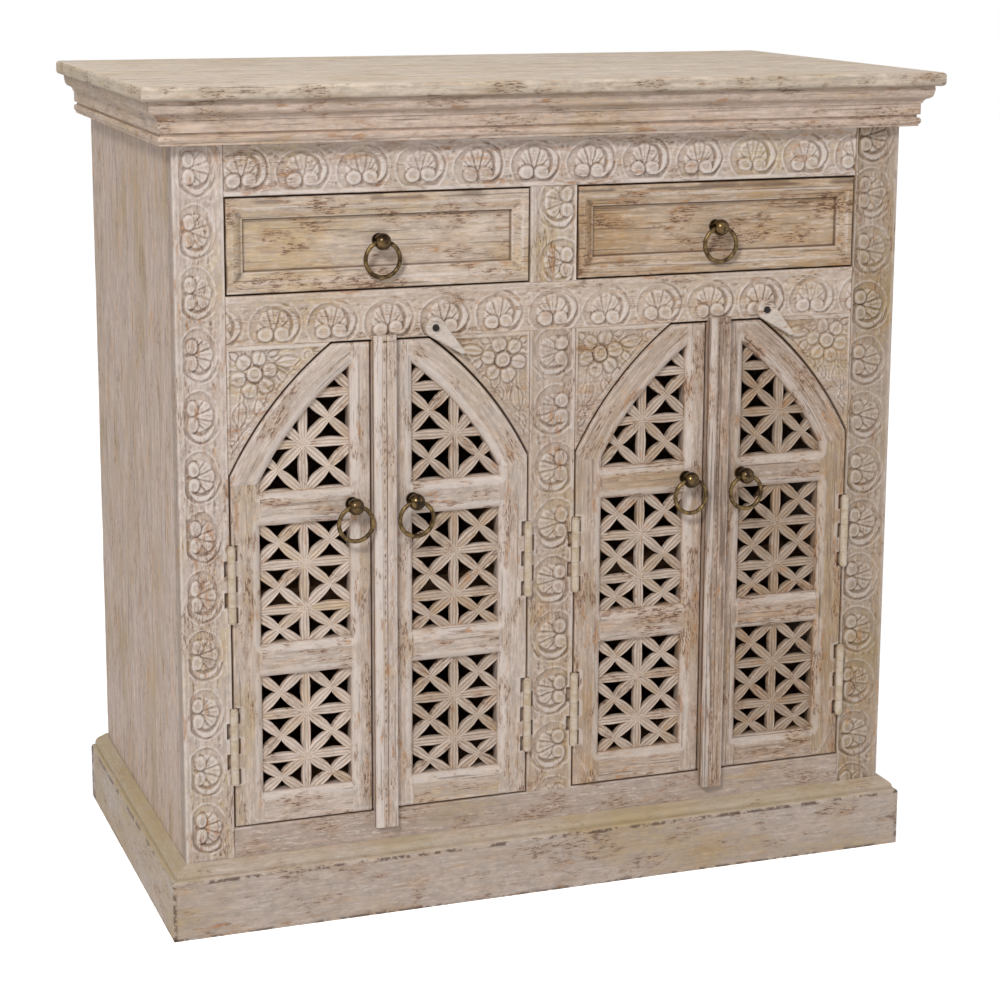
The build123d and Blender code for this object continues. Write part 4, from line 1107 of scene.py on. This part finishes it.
def strip_face(left, top, seed):
    """A round nose, a row of chips and a broad bead, with a notch near the top."""
    def depth(s, t):
        across = s - left
        face = np.full(s.shape, STRIP_FLOOR)
        for low, high, edge, middle in STRIP_FORMS:
            off = np.clip(np.abs(across - (low + high) / 2) / ((high - low) / 2), 0, 1)
            face = np.where(off < 1, edge + (middle - edge) * np.sqrt(1 - off**4), face)
        nose = np.clip(NOSE - across, 0, NOSE)
        face = face + np.sqrt(NOSE**2 - nose**2) - NOSE
        slope = np.clip((across - STRIP_SLOPE) / (STRIP_WIDTH - STRIP_SLOPE), 0, 1)
        face = face - STRIP_DROP * slope
        along = t / STRIP_CHIP_PITCH + 0.3 * ripple(s * 0, t, 11, seed)
        along = (along - np.round(along)) * STRIP_CHIP_PITCH
        chip = np.hypot((across - STRIP_CHIPS_ACROSS) / 0.8, along / 2.6)
        chipped = np.clip(0.5 + 1.2 * ripple(s * 0, t, 9, seed + 3), 0, 1)
        face = face - 0.9 * bell(chip, 1) * chipped
        face = face - 1.1 * bell(t - top + STRIP_NOTCH, 1.1) * rise(across - 10.0, 2.0)
        return face - 0.15 - 0.12 * ripple(s, t, 6, seed + 1) - 0.12 * ripple(s, t, 21, seed + 2)
    return depth


def strip_highlight_and_grime(left):
    """White on the nose, a painted highlight; brown in the row of chips, grime and painted shade.
    """
    def rubbed(s, t):
        return 0.5 * rise(8.6 - s + left, 2.0) - 0.4 * bell(s - left - 11.6, 2.4)
    return rubbed


# the right strip's darker wash is partly painted shade
for door, wash, seed in (("inner_left", "strip", 410), ("outer_right", "worn_shaded_strip", 430)):
    node = f"meeting_strip_{door}"
    low, high = node_box(node)
    proud = FRONT - low[1]
    one_board(
        f"reeded_strip_{door}", f"door_{door}", wash, node, even(low[0], high[0], 0.5),
        even(low[2], high[2], 1.15), proud, strip_face(low[0], high[2], seed),
        lambda s, t, h, proud=proud: on_front(s, t, h + proud), along_rows=True,
        rubbed=strip_highlight_and_grime(low[0]), back_dirt=0.2,
    )


# ---- drawer fronts ----
RIM_SIDE, RIM_TOP, BEVEL, BEVEL_DEPTH, RECESS = 5.9, 9.8, 11.5, 4.0, 9.0
STEP_RUN = 0.5


def across_drawer(low, high, rim):
    """Lines over a drawer front, close together on the rim, slope and step at both ends."""
    field = rim + BEVEL
    lines = np.array([
        0, 0.3, 0.7, 1.2, rim / 2, rim - 0.3, rim, rim + 3, rim + 6, rim + 9, field - 0.3, field,
        field + STEP_RUN, field + 1.5, field + 3
    ])
    inner = even(low + lines[-1], high - lines[-1], 3.0)[1:-1]
    return np.concatenate([low + lines, inner, high - lines[::-1]])


def worn_rim_and_shaded_slope(low, high, seed):
    """Brown on the rim in patches and on its upper middle, and painted shade on the slope at the
    left.
    """
    def rubbed(s, t):
        to_side, to_top = least(s - low[0], high[0] - s), least(t - low[2], high[2] - t)
        patches = bell(least(to_side, to_top), 1.6) * rise(ripple(s, t, 22, seed + 1), 0.6)
        streak = bell(high[2] - t - RIM_TOP / 2, 2.6) * rise(ripple(s, t, 44, seed) + 0.2, 0.5)
        # painted shade on the slope at the left
        in_slope = s - low[0] - RIM_SIDE
        slope = rise(BEVEL - 1 - in_slope, 3.0) * rise(in_slope, 1.0)
        slope = slope * rise(to_top - RIM_TOP - in_slope, 2.0)
        return -1.2 * patches - 1.1 * streak - 0.5 * slope
    return rubbed


def drawer_face(low, high, seed):
    """A flat rim, a slope inwards and a step down to the field."""
    def depth(s, t):
        to_side = least(s - low[0], high[0] - s) - RIM_SIDE
        inward = least(to_side, least(t - low[2], high[2] - t) - RIM_TOP)
        slope = BEVEL_DEPTH * np.clip(inward / BEVEL, 0, 1)
        step = (RECESS - BEVEL_DEPTH) * np.clip((inward - BEVEL) / STEP_RUN, 0, 1)
        wear = waves(s, t, seed, (0.2, 31), (0.12, 8)) - 0.2
        return wear - slope - step + soft_edges(s, t, low[::2], high[::2], ARRIS)
    return depth


# the right drawer's darker wash is partly painted shade
for name, wash, seed in (("left", "drawer", 500), ("right", "worn_shaded_drawer", 510)):
    node = f"drawer_front_{name}"
    low, high = node_box(node)
    one_board(
        f"sunk_front_{name}", f"drawer_{name}", wash, node,
        across_drawer(low[0], high[0], RIM_SIDE), across_drawer(low[2], high[2], RIM_TOP),
        high[1] - FRONT, drawer_face(low, high, seed), sharp=30.0, blur=2,
        rubbed=worn_rim_and_shaded_slope(low, high, seed + 5),
    )


# ---- plain boards of the body ----
RAIL_HIDDEN, RAIL_SHOWN = 76.0, 78.0
SIDE_JOINT = -139.5

low, high = node_box("bottom_rail")
one_board(
    "plain_bottom_rail", "cabinet", "base", "bottom_rail", even(low[0], high[0], 4.0),
    np.concatenate([[low[2], RAIL_HIDDEN], eased(RAIL_SHOWN, high[2], 3.0)]), high[1] - FRONT,
    plain_face(
        601, ((0.2, 24), (0.12, 7)), 0.35, (low[0] - OUT_OF_SIGHT, low[2] - OUT_OF_SIGHT),
        (high[0] + OUT_OF_SIGHT, high[2]),
    ),
    blur=2,
)

for name, outward, seed in (("left", -1, 620), ("right", 1, 640)):
    low, high = node_box(f"side_panel_{name}")
    face_x = low[0] if outward < 0 else high[0]

    def on_side(s, t, height, face_x=face_x, outward=outward):
        return Vector(((face_x + outward * height) * MM, s * MM, t * MM))

    piece = Piece()
    for number, (near, far) in enumerate(((low[1], SIDE_JOINT), (SIDE_JOINT, high[1]))):
        face = plain_face(
            seed + 5 * number, ((0.22, 37), (0.1, 8)), 0.3, (near, low[2] - OUT_OF_SIGHT),
            (far, high[2] + OUT_OF_SIGHT), 0.9,
        )
        columns, rows = eased(near, far, 4.0), even(low[2], high[2], 4.0)
        piece.sheet(columns, rows, high[0] - low[0], face, on_side, along_rows=True, blur=2)
    piece.finish(f"side_boards_{name}", "cabinet", "side_wood", SIDE_WASH, f"side_panel_{name}")


# ---- nodes of the model that keep their shape ----
NODE_FINISHES = (
    (TOP_WASH, ("top_slab",)),
    (MOULDING_WASH, ("cornice",)),
    (PLINTH_WASH, ("plinth",)),
    (LATCH_WASH, ("turn_latch",)),
    (INSIDE, ("back_panel", "bottom_board", "centre_partition", "drawer_deck", "shelf",
              "drawer_guides", "drawer_box", "drawer_bottom")),
    (KNOB_BRASS, ("knob",)),
    (RING_BRASS, ("ring_",)),
    (HINGE_PAINT, ("hinge",)),
    (SCREW, ("latch_screws",)),
)
for name, node in frame["nodes"].items():
    for material, starts in NODE_FINISHES:
        if name.startswith(starts):
            for slot in node.material_slots:
                slot.material = material


# ---- floor, light and camera ----
WORLD_LIGHT = 0.36
FLOOR_HALF = 9.0
FLOOR_SHINE = 0.75
PLAIN_WHITE = (1, 1, 1, 1)
LAMP_AIM = Vector((0, -0.1, 0.45))
LAMPS = (
    # name, place, size, energy
    ("key_lamp", (-2.1, -2.9, 3.0), 0.7, 84),
    ("fill_lamp", (2.6, -2.6, 1.8), 2.0, 10),
)
CAMERA_PLACE = (-0.92495, -2.58577, 1.0569)
AZIMUTH, FALL, ROLL = 0.34842, 0.19502, 0.00452
LENS, SENSOR, SHIFT = 86.97, 36.0, -0.1


def plainly_seen(look, falling, seen):
    """Mixes a shader for the light that falls on the cupboard with one for what is seen.

    The second one is there for the camera, in reflections and through glass.
    """
    rays = [
        look.node("ShaderNodeLightPath", {}, {}, f"Is {kind} Ray")
        for kind in ("Camera", "Glossy", "Transmission")
    ]
    share = rays[0] + rays[1] + rays[2]
    return look.node("ShaderNodeMixShader", {}, {0: share, 1: falling, 2: seen})


world = bpy.data.worlds.new("studio")
studio = Finish(world, "Background", Color=PLAIN_WHITE, Strength=WORLD_LIGHT)
bpy.context.scene.world = world
light = Signal(studio, studio.shader.outputs[0])
bright = studio.node("ShaderNodeBackground", {}, {"Color": PLAIN_WHITE, "Strength": 1.0})
surface = studio.tree.nodes["World Output"].inputs["Surface"]
studio.feed(surface, plainly_seen(studio, light, bright))

pale = Finish(
    bpy.data.materials.new("floor_white"), "Principled BSDF",
    Base_Color=(0.86, 0.86, 0.86, 1), Roughness=0.9, Specular_IOR_Level=0.0,
)
matt = Signal(pale, pale.shader.outputs[0])
shine = pale.node("ShaderNodeEmission", {}, {"Color": PLAIN_WHITE, "Strength": FLOOR_SHINE})
lit = pale.node("ShaderNodeAddShader", {}, {0: matt, 1: shine})
surface = pale.tree.nodes["Material Output"].inputs["Surface"]
pale.feed(surface, plainly_seen(pale, matt, lit))

floor_mesh = bpy.data.meshes.new("floor")
bm = bmesh.new()
bmesh.ops.create_grid(bm, x_segments=1, y_segments=1, size=FLOOR_HALF)
bm.to_mesh(floor_mesh)
bm.free()
floor_mesh.materials.append(pale.owner)
floor = placed("floor", floor_mesh)

for name, place, size, energy in LAMPS:
    lamp = bpy.data.lights.new(name, "AREA")
    lamp.size = size
    lamp.energy = energy
    made = placed(name, lamp)
    made.location = place
    made.rotation_euler = (LAMP_AIM - Vector(place)).to_track_quat("-Z", "Y").to_euler()

camera = placed("camera", bpy.data.cameras.new("camera"))
level_view = math.cos(FALL)
view = Vector((math.sin(AZIMUTH) * level_view, math.cos(AZIMUTH) * level_view, -math.sin(FALL)))
turn = view.to_track_quat("-Z", "Y") @ Matrix.Rotation(ROLL, 3, "Z").to_quaternion()
camera.location = CAMERA_PLACE
camera.rotation_euler = turn.to_euler()
camera.data.lens = LENS
camera.data.sensor_width = SENSOR
camera.data.shift_y = SHIFT
camera.data.clip_end = 50.0
bpy.context.scene.camera = camera
bpy.context.scene.view_settings.view_transform = "Standard"
